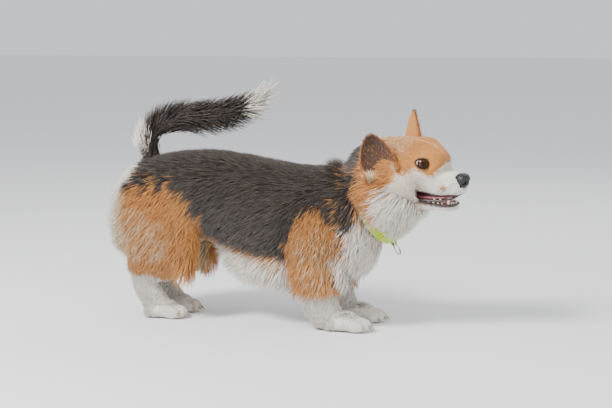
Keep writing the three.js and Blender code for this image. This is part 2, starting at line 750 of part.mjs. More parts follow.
const ring = new THREE.TorusGeometry(RING.radius, RING.wire, 6, 22);
ring.rotateY(radians(90) - lean);
const loopFloor = LOOP.at + 2 * LOOP.high - LOOP.thick - LOOP.sunk;
ring.translate(...under(loopFloor - RING.wire - GAP + RING.radius - RING.raised, 0).toArray());
const splitRing = solid(ring);
node("collar", collar.add(clear(solid(loopRing), splitRing)), "webbing");
node("collar_ring", splitRing, "steel");

// Head
const ball = (at, size, round = 14) => {
  const sphere = new THREE.SphereGeometry(1, round, Math.round(0.7 * round));
  sphere.scale(...size);
  sphere.translate(...at);
  return solid(sphere);
};
const even = (r) => [r, r, r];
const sided = ([x, y, z], side) => [x, side * y, z];
let skull = loftSolid(skullLoft);
const jaw = loftSolid(jawLoft);

// The upper lip hangs over the mouth from its corner to under the nose.
const LIP = [
  [93, 27, -33],
  [106, 27.5, -31],
  [122, 26, -30.5],
  [140, 22.5, -29],
  [154, 16, -26.5],
  [162, 6, -25],
];
for (const { side } of SIDES) {
  const lip = LIP.map((p) => sided(p, side));
  skull = skull.add(strip(lip, 3, 9, 4));
}
const mouth = {
  stations: [
    [90, 0, -42, 14, 6, 7],
    [102, 0, -42, 21, 9, 8],
    [124, 0, -42, 20, 10, 10],
    [144, 0, -42, 16, 10, 10],
    [158, 0, -40, 13, 9, 10],
    [176, 0, -40, 12, 8, 10],
  ],
  up: [0, 0, 1],
  along: 8,
  round: 14,
};
skull = skull.subtract(loftSolid(mouth));

// Lids above and below each eye.
const lidCurve = (side, lift, swell) =>
  [-1, -0.5, 0, 0.5, 1].map((f) => {
    const turn = radians(34) - f * 0.78;
    const rise = lift * (1 - f * f);
    const r = EYE.radius + swell;
    return [
      EYE.at[0] + r * Math.sin(turn) * Math.cos(rise),
      side * (EYE.at[1] + r * Math.cos(turn) * Math.cos(rise)),
      EYE.at[2] + r * Math.sin(rise) - 1.5 * f,
    ];
  });
const LIDS = { upper: { lift: 0.62, thick: 1.7 }, lower: { lift: -0.5, thick: 1.6 } };
const LID_SWELL = 0.2;
for (const { side } of SIDES) {
  for (const { lift, thick } of [LIDS.upper, LIDS.lower]) {
    skull = skull.add(strip(lidCurve(side, lift, LID_SWELL), thick, 8, 3));
  }
  skull = skull.subtract(ball(sided(EYE.at, side), even(EYE.radius + GAP), 10));
}
const nostrils = SIDES.map(({ side }) => ball(sided(NOSTRIL.at, side), NOSTRIL.size, 10));
const nose = ball(NOSE.at, NOSE.size, 12).subtract(join(...nostrils));
const FORWARD = new THREE.Vector3(1, 0, 0);
const noseBack = NOSE.at[0] - 1;
const wideNose = ball(NOSE.at, NOSE.size.map((r) => r + GAP), 12);
const noseRoom = wideNose.intersect(ahead(new THREE.Vector3(noseBack, 0, 0), FORWARD));
skull = skull.subtract(noseRoom);
const noseFront = keep(nose, new THREE.Vector3(noseBack + GAP / 2, 0, 0), FORWARD, 1);
const ears = EARS.map((leaf) => ear(leaf));
skull = skull.subtract(loftSolid(grown(jawLoft, GAP)));
const CHEEKS = [
  { t: 0.2, from: 190, to: 218, count: 2, lie: [-0.7, -0.1, -0.8] },
  { t: 0.33, from: 188, to: 226, count: 3, lie: [-0.7, -0.1, -0.8] },
];
const cheekFrame = { place: placeHead, turn: turnHead };
const mirroredCheeks = CHEEKS.map(({ from, to, lie, ...row }) => ({
  ...row,
  from: 540 - to,
  to: 540 - from,
  lie: [lie[0], -lie[1], lie[2]],
}));
const cheeks = coat(skullLoft, "ruff", [...CHEEKS, ...mirroredCheeks], cheekFrame);
const clearCheeks = clear(cheeks, neck, inWorld(jaw), collar);
const headBody = largest(keep(inWorld(skull), headCut, headNormal, 1).add(clearCheeks));
node("head", headBody, "tan");
EARS.forEach(({ side }, i) => {
  node(`ear_${side > 0 ? "left" : "right"}`, clear(inWorld(ears[i]), headBody, neck), "tan");
});
for (const { side, name } of SIDES) {
  node(`eye_${name}`, inWorld(ball(sided(EYE.at, side), even(EYE.radius), 10)), "eye");
}
node("nose", inWorld(noseFront), "leather");
const teeth = TEETH.flatMap(({ x, y, high, wide }) =>
  SIDES.map(({ side }) => {
    const cone = new THREE.ConeGeometry(wide, high + 4, 5);
    cone.rotateX(Math.PI / 2);
    cone.translate(x, side * y, GUM + high / 2 - 2);
    return solid(cone);
  }),
);
const lower = clear(join(jaw, ...teeth), skull, loftSolid(tongueLoft));
node("jaw", clear(inWorld(lower), neck), "white");
node("tongue", inWorld(loftSolid(tongueLoft)), "tongue");
node("neck", clear(neck, inWorld(jaw)), "tan");

dog.updateMatrixWorld(true);
const box = new THREE.Box3().setFromObject(dog);
const middle = box.getCenter(new THREE.Vector3());
dog.position.set(-middle.x, -middle.y, 0);
export default dog;
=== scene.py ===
# %% [markdown]
# A standing corgi, made as a museum maker would make it: a smooth body first, then glass eyes, a nose of
# moulded leather, claws, and last the coat, lock by lock. This first cell loads the rigid model that
# the dog has to fit, with a function that reads the box of any of its parts.

# %% Load the frame
import json

import bmesh
import bpy
import numpy as np
from mathutils import Matrix, Vector

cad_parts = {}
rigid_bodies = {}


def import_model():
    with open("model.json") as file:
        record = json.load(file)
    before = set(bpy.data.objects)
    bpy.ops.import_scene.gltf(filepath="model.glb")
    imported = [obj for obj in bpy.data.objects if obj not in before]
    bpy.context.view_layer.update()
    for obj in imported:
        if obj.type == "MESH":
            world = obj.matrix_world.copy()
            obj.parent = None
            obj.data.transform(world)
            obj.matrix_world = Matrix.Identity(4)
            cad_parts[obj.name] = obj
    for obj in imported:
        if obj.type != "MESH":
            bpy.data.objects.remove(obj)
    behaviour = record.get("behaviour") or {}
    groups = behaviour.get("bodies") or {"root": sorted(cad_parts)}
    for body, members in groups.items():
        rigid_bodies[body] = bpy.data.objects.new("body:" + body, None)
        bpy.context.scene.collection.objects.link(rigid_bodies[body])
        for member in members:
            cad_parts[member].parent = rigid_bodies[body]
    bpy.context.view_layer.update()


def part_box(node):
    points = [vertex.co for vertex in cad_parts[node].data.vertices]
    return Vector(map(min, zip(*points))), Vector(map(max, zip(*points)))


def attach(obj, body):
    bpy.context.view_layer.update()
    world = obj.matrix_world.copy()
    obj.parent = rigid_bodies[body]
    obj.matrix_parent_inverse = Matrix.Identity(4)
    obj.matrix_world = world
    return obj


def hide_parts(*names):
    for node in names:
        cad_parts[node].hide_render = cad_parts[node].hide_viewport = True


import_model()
RNG = np.random.default_rng(20417)

# %% [markdown]
# All shapes are written in millimetres in a plain frame: X forward, Y to the dog's left, Z up, the
# withers near X = 0. The head has a frame of its own, with its pivot at the back of the skull, because
# it is turned and tilted. Two small functions carry points from one frame to the other and to metres.

# %% Frames and turning
HEAD_PIVOT = np.array([108.0, 0.0, 281.0])
YAW, PITCH, ROLL = np.radians([-13.6, 2.5, 9.0])
EYE_NODE = np.array([102.0, 32.5, 24.0])  # middle of the left eye among the solids, in the head's frame
EYE_AT = np.array([106.0, 31.5, 24.5])  # middle of the left glass eye
EYE_RADIUS = 10.5
SIDES = {"right": -1, "left": 1}
FORWARD, LEFT, UPRIGHT = np.eye(3)


def turn(axis, angle):
    """A 3 by 3 turn about one axis: cosine and sine in the plane of the other two."""
    return np.array(Matrix.Rotation(angle, 3, axis))


HEAD_TURN = turn("Z", YAW) @ turn("Y", PITCH) @ turn("X", ROLL)


def from_head(points):
    """Head frame to body frame: turned by the head's turn, then moved to the pivot."""
    return points @ HEAD_TURN.T + HEAD_PIVOT


def to_head(points):
    """Body frame to head frame, the way back."""
    return (points - HEAD_PIVOT) @ HEAD_TURN


low, high = (np.array(corner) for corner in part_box("eye_right"))
SHIFT = (low + high) / 2 - from_head(EYE_NODE * [1, -1, 1]) / 1000
SHIFT[2] = 0
print("the plain frame lies", np.round(SHIFT * 1000, 1), "mm from the model's own")


def metres(points):
    """Body frame in millimetres to the model's frame in metres."""
    return np.asarray(points, float) / 1000 + SHIFT


# %% [markdown]
# Every soft form here is a loft: an oval carried along a path of stations. A station is a centre and how
# far the oval reaches sideways, up and down. Catmull-Rom curves join the stations, so a few numbers
# give a smooth limb. The same few numbers shape the solids, so the two agree.

# %% Lofts
def along_rows(rows, t):
    """Catmull-Rom through the rows: the cubic that passes each row with the slope of its neighbours."""
    rows = np.asarray(rows, float)
    last = len(rows) - 1
    place = np.clip(np.asarray(t, float), 0, 1) * last
    i = np.minimum(place.astype(int), last - 1)
    f = (place - i)[:, None]
    a, b, c, d = (rows[np.clip(i + k, 0, last)] for k in (-1, 0, 1, 2))
    return b + 0.5 * ((c - a) * f + (2 * a - 5 * b + 4 * c - d) * f**2 + (3 * b - a - 3 * c + d) * f**3)


def unit(v):
    """Each row of v divided by its length."""
    return v / np.maximum(np.linalg.norm(v, axis=-1, keepdims=True), 1e-9)


def once_round(count):
    """Angles once round a circle, the last one short of the first."""
    return np.linspace(0, 2 * np.pi, count, endpoint=False)


def signed_power(v, power):
    """sgn(v) |v|^power: below 1 it fills out the corners of an oval."""
    return np.sign(v) * np.abs(v) ** power


def loft(rows, up, steps, around, power=0.92):
    """Ovals on a path: centre + side * half width * cos(a)^p + rise * reach * sin(a)^p, signs kept."""
    t = np.linspace(0, 1, steps)
    stations = along_rows(rows, t)
    ahead = unit(along_rows(rows, t + 0.01)[:, :3] - along_rows(rows, t - 0.01)[:, :3])
    side = unit(np.cross(np.array(up, float), ahead))
    rise = np.cross(ahead, side)
    a = once_round(around)
    c, d = signed_power(np.cos(a), power), signed_power(np.sin(a), power)
    reach = np.where(d > 0, stations[:, 4:5], stations[:, 5:6])
    across = side[:, None] * (c * stations[:, 3:4])[..., None]
    return stations[:, None, :3] + across + rise[:, None] * (d * reach)[..., None]


def grid_faces(rows, columns, looped=False):
    """Quads between neighbouring rings of a grid; a looped one joins its last ring to its first."""
    i, j = np.meshgrid(np.arange(rows if looped else rows - 1), np.arange(columns), indexing="ij")
    here, ahead, beside = i * columns, (i + 1) % rows * columns, (j + 1) % columns
    return np.stack([here + j, here + beside, ahead + beside, ahead + j], -1).reshape(-1, 4)


def closed(grid):
    """A ring grid as points and faces, closed by a fan to a point in the middle of each end ring."""
    steps, around = grid.shape[:2]
    points = np.vstack([grid.reshape(-1, 3), grid[0].mean(0), grid[-1].mean(0)])
    k, count = np.arange(around), steps * around
    onward, last = (k + 1) % around, count - around
    start = np.stack([onward, k, np.full(around, count)], -1)
    stop = np.stack([last + k, last + onward, np.full(around, count + 1)], -1)
    return points, grid_faces(steps, around).tolist() + start.tolist() + stop.tolist()


def joined(parts):
    """Several (points, faces) as one, the faces numbered on."""
    points, faces, first = [], [], 0
    for p, f in parts:
        points.append(p)
        faces += [[k + first for k in face] for face in f]
        first += len(p)
    return np.vstack(points), faces


def placed(name, mesh):
    """Smooths a mesh and puts it in the scene as an object at the origin."""
    mesh.update(calc_edges=True)
    mesh.shade_smooth()
    thing = bpy.data.objects.new(name, mesh)
    bpy.context.scene.collection.objects.link(thing)
    return thing


def new_mesh(name, points, faces):
    """A mesh object with its place in its points, given in metres."""
    mesh = bpy.data.meshes.new(name)
    mesh.from_pydata(np.asarray(points).tolist(), [], faces)
    return placed(name, mesh)


def floats(mesh, name, values, kind="FLOAT"):
    """Stores one number or colour for each point of a mesh."""
    layer = mesh.attributes.new(name, kind, "POINT")
    layer.data.foreach_set("value" if kind == "FLOAT" else "color", np.ravel(values).astype(np.float32))


print("lofts and meshes can be made")

# %% [markdown]
# The flesh lies under the coat, so each station gives up the coat's depth there: about 12 mm on the
# trunk and neck, 3 mm on the legs and hardly anything on the feet.

# %% Body stations
def flesh(reach, depth, least):
    """How far the flesh reaches under a coat: reach - depth, and at least a share of the reach."""
    return np.maximum(reach - depth, least * reach)


def barrel(rows, depth):
    """Rows of x, top, bottom and half width as stations, drawn in by the coat's depth."""
    x, top, bottom, half = np.asarray(rows, float).T
    z = bottom + 0.48 * (top - bottom)
    return np.stack([x, 0 * x, z, *flesh(np.array([half, top - z, z - bottom]), depth, 0.5)], 1)


def limb(rows, depth, side=1, least=0.55):
    """A limb's stations on one side, drawn in by the coat's depth at each."""
    rows = np.array(rows, float)
    rows[:, 1] *= side
    rows[:, 3:] = flesh(rows[:, 3:], np.reshape(depth, (-1, 1)), least)
    return rows


TORSO = [
    [-384, 214, 168, 16],
    [-372, 236, 140, 48],
    [-352, 262, 124, 72],
    [-322, 284, 116, 88],
    [-282, 299, 118, 94],
    [-235, 307, 132, 92],
    [-190, 308, 140, 88],
    [-145, 304, 120, 88],
    [-98, 296, 100, 93],
    [-48, 288, 88, 97],
    [5, 286, 84, 97],
    [50, 289, 90, 93],
    [84, 284, 104, 82],
    [107, 262, 124, 62],
    [121, 228, 150, 26],
]
SHOULDER = [
    [22, 46, 252, 14, 18, 18],
    [16, 58, 225, 34, 38, 40],
    [10, 64, 185, 38, 48, 52],
    [6, 63, 145, 35, 46, 50],
    [8, 56, 108, 28, 37, 40],
    [12, 52, 84, 25, 34, 36],
    [19, 50, 60, 24, 33, 34],
    [27, 49, 38, 23, 31, 32],
    [36, 48, 20, 22, 28, 30],
    [40, 48, 12, 12, 16, 16],
]
THIGH = [
    [-290, 42, 262, 16, 30, 30],
    [-290, 52, 238, 36, 66, 66],
    [-288, 58, 205, 41, 92, 88],
    [-288, 60, 168, 40, 96, 90],
    [-288, 56, 136, 36, 90, 84],
    [-296, 48, 110, 29, 68, 64],
    [-312, 40, 88, 23, 40, 38],
    [-319, 36, 66, 20, 27, 27],
    [-308, 34, 42, 19, 24, 24],
    [-294, 33, 22, 19, 23, 24],
    [-290, 33, 12, 10, 12, 12],
]
SHOULDER_DEPTH = [6, 11, 11, 10, 7, 5, 4.5, 4, 3, 2]
THIGH_DEPTH = [8, 11, 12, 12, 11, 8, 5, 4, 3, 3, 2]
TRUNK_DEPTH, TAIL_DEPTH = 12, 11
print("stations: trunk", len(TORSO), "foreleg", len(SHOULDER), "hind leg", len(THIGH))

# %% [markdown]
# A paw is a low pad with four toes side by side on its front. The inner toes reach further forward.

# %% Paws
TOES = [(-17, -7, 0.9), (-6, 0, 1.0), (6, 0, 1.0), (17, -7, 0.9)]  # across, forward, size
TOE_GAPS = (-11.5, 0, 11.5)
PAWS = [(27, 48, 1.06), (-318, 33, 0.98)]  # heel, out from the middle, scale
FEET = [(heel, side * y, scale) for heel, y, scale in PAWS for side in SIDES.values()]


def ellipsoid(centre, size, steps=12, around=16):
    """A ball stretched three ways, its poles along X: x = -cos s, y = sin s cos a, z = sin s sin a."""
    s, a = np.linspace(0.02, np.pi - 0.02, steps)[:, None], once_round(around)
    ball = np.broadcast_arrays(-np.cos(s), np.sin(s) * np.cos(a), np.sin(s) * np.sin(a))
    return closed(np.stack(ball, -1) * size + centre)


def paw(heel, y, scale):
    """A low pad and four toes side by side."""
    pad = [
        [heel, y, 13, 6, 4, 8],
        [heel + 9 * scale, y, 13, 19, 14, 13],
        [heel + 28 * scale, y, 14, 24, 20, 14],
        [heel + 48 * scale, y, 14, 24, 16, 14],
        [heel + 64 * scale, y, 12, 21, 9, 12],
        [heel + 70 * scale, y, 10, 8, 4, 8],
    ]
    parts = [closed(loft(pad, UPRIGHT, 14, 20))]
    for across, reach, size in TOES:
        centre = [heel + (66 + reach) * scale, y + across * scale, 11]
        parts.append(ellipsoid(centre, [16 * size * scale, 7.4 * size * scale, 12.6 * size]))
    return parts


print(len(FEET), "feet with", len(TOES), "toes each")

# %% [markdown]
# The neck leans forward through the collar. Its middle stations follow the collar's own axis, so that
# the webbing lies on it all the way round.

# %% Neck and tail stations
LEAN = np.radians(28)
COLLAR = {"centre": np.array([104.0, 0, 219]), "up": 71.0, "side": 61.0}
COLLAR_AXIS = np.array([np.cos(LEAN), 0, np.sin(LEAN)])
COLLAR_UP = np.array([-np.sin(LEAN), 0, np.cos(LEAN)])


def by_collar(points):
    """How far ahead of the collar a place is, and how high in it, as a share of its half height."""
    away = points - COLLAR["centre"]
    return away @ COLLAR_AXIS, away @ COLLAR_UP / COLLAR["up"]


def neck_row(step, sideways, lift, side, up, down):
    """A station so far along the collar's axis, moved sideways and along the collar's own up."""
    centre = COLLAR["centre"] + step * COLLAR_AXIS + lift * COLLAR_UP
    return [centre[0], sideways, centre[2], side, up, down]


NECK = [
    neck_row(-46, 0, 0, 66, 72, 72),
    neck_row(-24, 0, 0, 61, 71, 71),
    neck_row(-12, 0, 0, 61, 71, 71),
    neck_row(0, 0, 0, 61, 71, 71),
    neck_row(12, 0, 0, 61, 71, 71),
    neck_row(28, -3, 4, 68, 72, 76),
    neck_row(44, -7, 10, 71, 66, 78),
    neck_row(64, -12, 16, 66, 60, 74),
    neck_row(84, -16, 18, 46, 46, 58),
]
NECK_DEPTH = [12, 9, 2.5, 2.5, 2.5, 9, 13, 14, 12]
TAIL = [
    [-316, 0, 262, 20, 20, 20],
    [-322, 0, 288, 23, 22, 24],
    [-320, 0, 314, 23, 21, 25],
    [-306, 2, 340, 22, 20, 24],
    [-276, 4, 357, 21, 20, 21],
    [-238, 6, 363, 21, 20, 21],
    [-198, 8, 368, 21, 20, 21],
    [-160, 9, 376, 19, 19, 20],
    [-128, 10, 389, 14, 15, 17],
    [-104, 10, 407, 8, 8, 8],
    [-86, 10, 421, 2, 2, 2],
]
print("stations: neck", len(NECK), "tail", len(TAIL))

# %% [markdown]
# The trunk, neck, legs and feet are joined by Blender's voxel remesh, which wraps overlapping forms in
# one skin, as clay would be worked together.

# %% One body from many forms
VOXEL = 3.8


def read(items, key, width, kind=float):
    """One property of all items of a mesh as an array, a row for each item."""
    values = np.empty(len(items) * width, kind)
    items.foreach_get(key, values)
    return values.reshape(-1, width)


parts = [closed(loft(barrel(TORSO, TRUNK_DEPTH), UPRIGHT, 60, 48))]
for side in SIDES.values():
    parts.append(closed(loft(limb(SHOULDER, SHOULDER_DEPTH, side), FORWARD, 44, 32)))
    parts.append(closed(loft(limb(THIGH, THIGH_DEPTH, side), FORWARD, 50, 36)))
    for heel, y, scale in PAWS:
        parts += paw(heel, side * y, scale)
parts.append(closed(loft(limb(NECK, NECK_DEPTH), UPRIGHT, 40, 48)))
parts.append(closed(loft(limb(TAIL, TAIL_DEPTH, least=0.4), LEFT, 60, 20)))
rough = new_mesh("rough", *joined(parts))
remesh = rough.modifiers.new("wrap", "REMESH")
remesh.mode = "VOXEL"
remesh.voxel_size = VOXEL
wrapped = bpy.data.meshes.new_from_object(rough.evaluated_get(bpy.context.evaluated_depsgraph_get()))
bpy.data.objects.remove(rough)
body_points = read(wrapped.vertices, "co", 3)
body_faces = read(wrapped.loops, "vertex_index", 1, int).reshape(-1, 4).tolist()
body_edges = read(wrapped.edges, "vertices", 2, int)
bpy.data.meshes.remove(wrapped)
print("the body has", len(body_points), "points")

# %% [markdown]
# A few rounds of smoothing soften the joins. The feet get fewer rounds, so that the toes stay apart, and
# a bell-shaped groove is pressed between each two toes.

# %% Soft joins and toes
def smoothed(points, edges, rounds, share):
    """Each round moves every point part of the way to the mean of its neighbours."""
    count = np.bincount(edges.ravel(), minlength=len(points))[:, None]
    for _ in range(rounds):
        total = np.zeros_like(points)
        for k in range(3):
            total[:, k] = np.bincount(edges[:, 0], points[edges[:, 1], k], len(points))
            total[:, k] += np.bincount(edges[:, 1], points[edges[:, 0], k], len(points))
        points = points + share * (total / count - points)
    return points


def bell(*away):
    """exp(-(a^2 + b^2 + ...)): 1 in the middle, falling off smoothly to 0."""
    return np.exp(-sum(v**2 for v in away))


soft, firm = (smoothed(body_points, body_edges, rounds, 0.5) for rounds in (14, 3))
at_foot = np.clip((60 - body_points[:, 2:]) / 25, 0, 1)
body_points = soft * (1 - at_foot) + firm * at_foot
x, y, z = body_points.T
for heel, middle, scale in FEET:
    for gap in TOE_GAPS:
        groove = bell((y - middle - gap * scale) / 2.4) * np.clip((x - heel - 46 * scale) / 14, 0, 1)
        groove = groove * (x < heel + 100) * (z < 34) * (z > 5)
        z -= 4.0 * groove * np.clip(z / 12, 0, 1)
        x -= 4.5 * groove * np.clip((x - heel - 66 * scale) / 8, 0, 1)
z[:] = np.maximum(z, 0.4)
print("the soles are at", z.min(), "mm")

# %% [markdown]
# The head needs finer work than the body, so it is a grid of its own. Smooth bumps and hollows, each a
# bell-shaped push along the outward direction, give it brows, cheekbones, whisker pads, the sockets
# of the eyes and the groove between them.

# %% Head form
SKULL = [
    [-34, 24, -34, 24],
    [-22, 40, -52, 46],
    [0, 52, -64, 58],
    [24, 60, -70, 64],
    [48, 64, -70, 65],
    [70, 65, -62, 60],
    [90, 62, -50, 51],
    [104, 51.5, -45, 42],
    [115, 33.5, -43.5, 34],
    [125, 18.5, -41.5, 29],
    [137, 10.5, -40, 26],
    [150, 7.5, -37.5, 23.5],
    [160, 5, -34, 20],
    [168, 0, -26, 12],
]  # x, top, bottom, half width
SKULL_DEPTH = [8, 8, 9, 9, 9, 7.5, 4.5, 3, 2.2, 1.6, 1.2, 1.2, 1.2, 1.2]
BUMPS = [
    [98, 24, 44, 14, 4.5],  # brow
    [107, 38, 24, 13, -8],  # socket
    [92, 44, 4, 18, 5],  # cheekbone
    [44, 62, -30, 30, 6],  # cheek
    [148, 20, -18, 11, 2.4],  # whisker pad
    [118, 27, 6, 10, 2.0],
    [134, 17, 10, 9, 1.2],
]  # x, y, z, radius, height


def head_shape(grid):
    """Each point moves out from the head's axis by the sum of height * exp(-(d / radius)^2)."""
    out = unit(grid * [0, 1, 1] + [0, 0, 6])
    push = np.zeros(grid.shape[:-1])
    for x, y, z, radius, height in BUMPS:
        for side in SIDES.values():
            push += height * bell(np.linalg.norm(grid - [x, side * y, z], axis=-1) / radius)
    grid = grid + out * push[..., None]
    x, y, z = np.moveaxis(grid, -1, 0)
    z -= 3 * bell(y / 7, (x - 98) / 22) * (z > 0)
    x -= 1.5 * bell(y / 2.2) * np.clip((x - 150) / 10, 0, 1) * (z < -14)
    return grid


x, top, bottom, half = np.array(SKULL, float).T
depth = np.array(SKULL_DEPTH)
middle = (top + bottom) / 2
skull_rows = np.stack([x, 0 * x, middle, half - depth, top - middle - depth, middle - bottom - depth], 1)
skull_rows[:, 3:] = np.maximum(skull_rows[:, 3:], 4)
skull = head_shape(loft(skull_rows, UPRIGHT, 180, 160, 0.86))
print("the skull's grid is", skull.shape[:2])

# %% [markdown]
# The eye is a ball in a socket. First the skin is pressed back inside the ball's radius, then a lid of its
# own is laid round it: an almond-shaped edge on the ball, rolled outwards and blended into the face.

# %% Eyes and lids
GAZE = unit(np.array([0.63, 0.76, 0.13]))
ALMOND = {"wide": 11.0, "above": 6.4, "below": 5.6, "tilt": np.radians(-16)}
SOCKET_FRONT = 3.0  # the face round an eye ends this far ahead of the ball's middle
LID_REACH = 15.5  # from the gaze to where the lid meets the face
LID_ROLL = [(0.93, -0.5, 0), (0.98, 0.5, 0), (1.05, 1.3, 0), (1.15, 1.6, 0.02), (1.3, 1.2, 0.12)]


def eye_axes(side):
    """The gaze, the line from the outer to the inner corner, and up, for one eye in the head frame."""
    gaze = GAZE * [1, side, 1]
    inner = unit(np.cross(gaze, [0, 0, 1]) * side)
    up = unit(np.cross(inner, gaze)) * side
    up = up * np.sign(up[2])
    c, s = np.cos(ALMOND["tilt"]), np.sin(ALMOND["tilt"])
    return gaze, inner * c + up * s, up * c - inner * s


def round_eye(points, side, wide, high):
    """How many eye openings a place is from the gaze, and how far ahead of the ball's middle."""
    gaze, inner, up = eye_axes(side)
    away = points - EYE_AT * [1, side, 1]
    return np.hypot((away @ inner) / wide, (away @ up) / high), away @ gaze


for side in SIDES.values():
    gaze = eye_axes(side)[0]
    away = skull - EYE_AT * [1, side, 1]
    front = away @ gaze
    near = np.linalg.norm(away - front[..., None] * gaze, axis=-1)
    sink = np.clip(1.25 - near / 13, 0, 1) * (front > -4)
    skull = skull - gaze * (np.maximum(front - SOCKET_FRONT, 0) * np.minimum(2.2 * sink, 1))[..., None]


def lid(side, steps=96):
    """An almond round the gaze, swept from the ball's surface over a rolled rim to the face."""
    gaze, inner, up = eye_axes(side)
    centre = EYE_AT * [1, side, 1]
    a = once_round(steps)
    ca, sa = np.cos(a), np.sin(a)
    high = np.where(sa > 0, ALMOND["above"], ALMOND["below"]) * np.abs(sa) ** 0.9
    almond = np.stack([ALMOND["wide"] * ca * (1 + 0.06 * (ca > 0)), np.sign(sa) * high], 1)
    far = LID_REACH * np.stack([ca, sa], 1)
    rings = []
    for grow, lift, share in LID_ROLL:
        spot = almond * grow * (1 - share) + far * share
        reach = np.sqrt(np.maximum((EYE_RADIUS + lift) ** 2 - (spot**2).sum(1), 9))
        rings.append(centre + spot[:, :1] * inner + spot[:, 1:] * up + reach[:, None] * gaze)
    base = centre + far[:, :1] * inner + far[:, 1:] * up
    face = skull.reshape(-1, 3)
    offset = face[None] - base[:, None]
    front = offset @ gaze
    miss = np.linalg.norm(offset - front[..., None] * gaze, axis=-1) + 100 * (front < -12)
    edge = face[miss.argmin(1)] - 0.8 * gaze
    edge = edge * 0.5 + 0.25 * (np.roll(edge, 1, 0) + np.roll(edge, -1, 0))
    last = rings[-1]
    for f in (0.25, 0.5, 0.75, 1.0):
        rings.append(last * (1 - f) + edge * f + 1.6 * np.sin(np.pi * f) * gaze)
    return np.array(rings)


lids = {side: lid(side) for side in SIDES.values()}
print("each lid has", lids[1].shape[:2], "rings and points")

# %% [markdown]
# The lower jaw is a second loft, dropped a little, because the mouth is slightly open. Skull, lids and
# jaw are joined with the body into one skin.

# %% Jaw and the whole skin
JAW = [
    [60, 0, -52, 27, 10, 12],
    [76, 0, -53, 29, 11, 12],
    [96, 0, -53, 26, 9, 10],
    [116, 0, -54, 21.5, 6, 8],
    [134, 0, -55, 18, 5.5, 7],
    [146, 0, -55, 14.5, 5.5, 6.5],
    [153, 0, -54.5, 9, 5, 5.5],
    [156, 0, -54, 3, 2.5, 3],
]  # stations, as for a limb
jaw_rows = np.array(JAW, float)
jaw_rows[:, 3:] -= np.minimum(1.3, 0.3 * jaw_rows[:, 3:])
jaw = loft(jaw_rows, UPRIGHT, 60, 48, 0.8)

skin_parts = [(body_points, body_faces)]
for grid in (skull, jaw):
    points, faces = closed(grid)
    skin_parts.append((from_head(points), faces))
for side, rings in lids.items():
    quads = grid_faces(*rings.shape[:2])
    normal = np.cross(rings[0, 1] - rings[0, 0], rings[1, 0] - rings[0, 0])
    outwards = normal @ (rings[5, 0] - EYE_AT * [1, side, 1]) > 0
    skin_parts.append((from_head(rings.reshape(-1, 3)), (quads if outwards else quads[:, ::-1]).tolist()))
skin_points, skin_faces = joined(skin_parts)
skin = new_mesh("skin", metres(skin_points), skin_faces)
print("the skin has", sum(len(f) - 2 for f in skin_faces), "triangles")

# %% [markdown]
# An ear is a leaf bent into a cup: its width follows the leaf's outline, and each row is an arc of a
# circle. The outer and inner walls are the same sheet at two depths, closed round the rim.

# %% Ears
EARS = {
    "ear_right": {
        "side": -1,
        "root": [45, -55, -2],
        "tip": [-0.2, -0.2, 0.955],
        "open": [0.4, -0.9, 0.1],
        "long": 78,
        "round": 3.0,
    },
    "ear_left": {
        "side": 1,
        "root": [48, 38, 34],
        "tip": [0.1, 0.26, 0.96],
        "open": [0.66, 0.74, 0.05],
        "long": 60,
        "round": 1.9,
    },
}
EAR = {"half": 27.5, "bend": 1.15, "thick": 3.4, "sunk": 16}
UP_EAR, ACROSS_EAR = np.meshgrid(np.linspace(0, 0.992, 56), np.linspace(-1, 1, 40), indexing="ij")


def ear_sheet(ear, wall):
    """Rows up the ear, arcs across it: half width = half * (1 - v^round)^0.55 * (1 + 0.18 sin(pi v))."""
    v, edge = UP_EAR, ACROSS_EAR
    rise = unit(np.array(ear["tip"], float))
    face = np.array(ear["open"], float)
    face = unit(face - (face @ rise) * rise)
    across = np.cross(rise, face) * ear["side"]
    bend = EAR["bend"] * (1 - 0.4 * v)
    half = EAR["half"] * (1 - v ** ear["round"]) ** 0.55 * (1 + 0.18 * np.sin(np.pi * v))
    radius = half / np.sin(bend)
    inner = radius - wall * EAR["thick"] * (1 - 0.55 * v) * (1 - 0.5 * edge**4)
    fold = 2.2 * bell((edge - 0.55) / 0.16) * np.sin(np.pi * v) * bell(v / 0.5)
    point = np.array(ear["root"], float) + rise * ((ear["long"] + EAR["sunk"]) * v - EAR["sunk"])[..., None]
    point = point + across * (inner * np.sin(bend * edge))[..., None]
    deep = 0.72 * radius - inner * np.cos(bend * edge) - 6 * v * v + wall * fold
    return point + face * deep[..., None]


def ear_mesh(name, ear):
    """The two sheets, with quads between them round the rim."""
    outer, inner = ear_sheet(ear, 0), ear_sheet(ear, 1)
    rows, columns = outer.shape[:2]
    count = rows * columns
    number = np.arange(count).reshape(rows, columns)
    a = number[:-1, :-1].ravel()
    sheet = np.stack([a, a + columns, a + columns + 1, a + 1], -1)
    rim = np.concatenate([number[0, :-1], number[:-1, -1], number[-1, :0:-1], number[:0:-1, 0]])
    onward = np.roll(rim, -1)
    wall = np.stack([rim, onward, onward + count, rim + count], -1)
    quads = np.vstack([sheet, sheet[:, ::-1] + count, wall])
    points = np.vstack([outer.reshape(-1, 3), inner.reshape(-1, 3)])
    a, b, _, d = points[quads[0]]
    thickness = points[quads[0]].mean(0) - points[quads[0] + count].mean(0)
    if np.cross(b - a, d - a) @ thickness < 0:
        quads = quads[:, ::-1]
    return new_mesh(name, metres(from_head(points)), quads.tolist())


ear_pieces = {name: ear_mesh("leaf_of_" + name, ear) for name, ear in EARS.items()}
print("ears:", list(ear_pieces))

# %% [markdown]
# A taxidermist's eye is a glass ball with a clear, bulging front. The ball here is swept round its gaze,
# with a slight bulge for the cornea, and each point stores its angle from the gaze, which the
# material reads to draw pupil, iris and the dark edge.

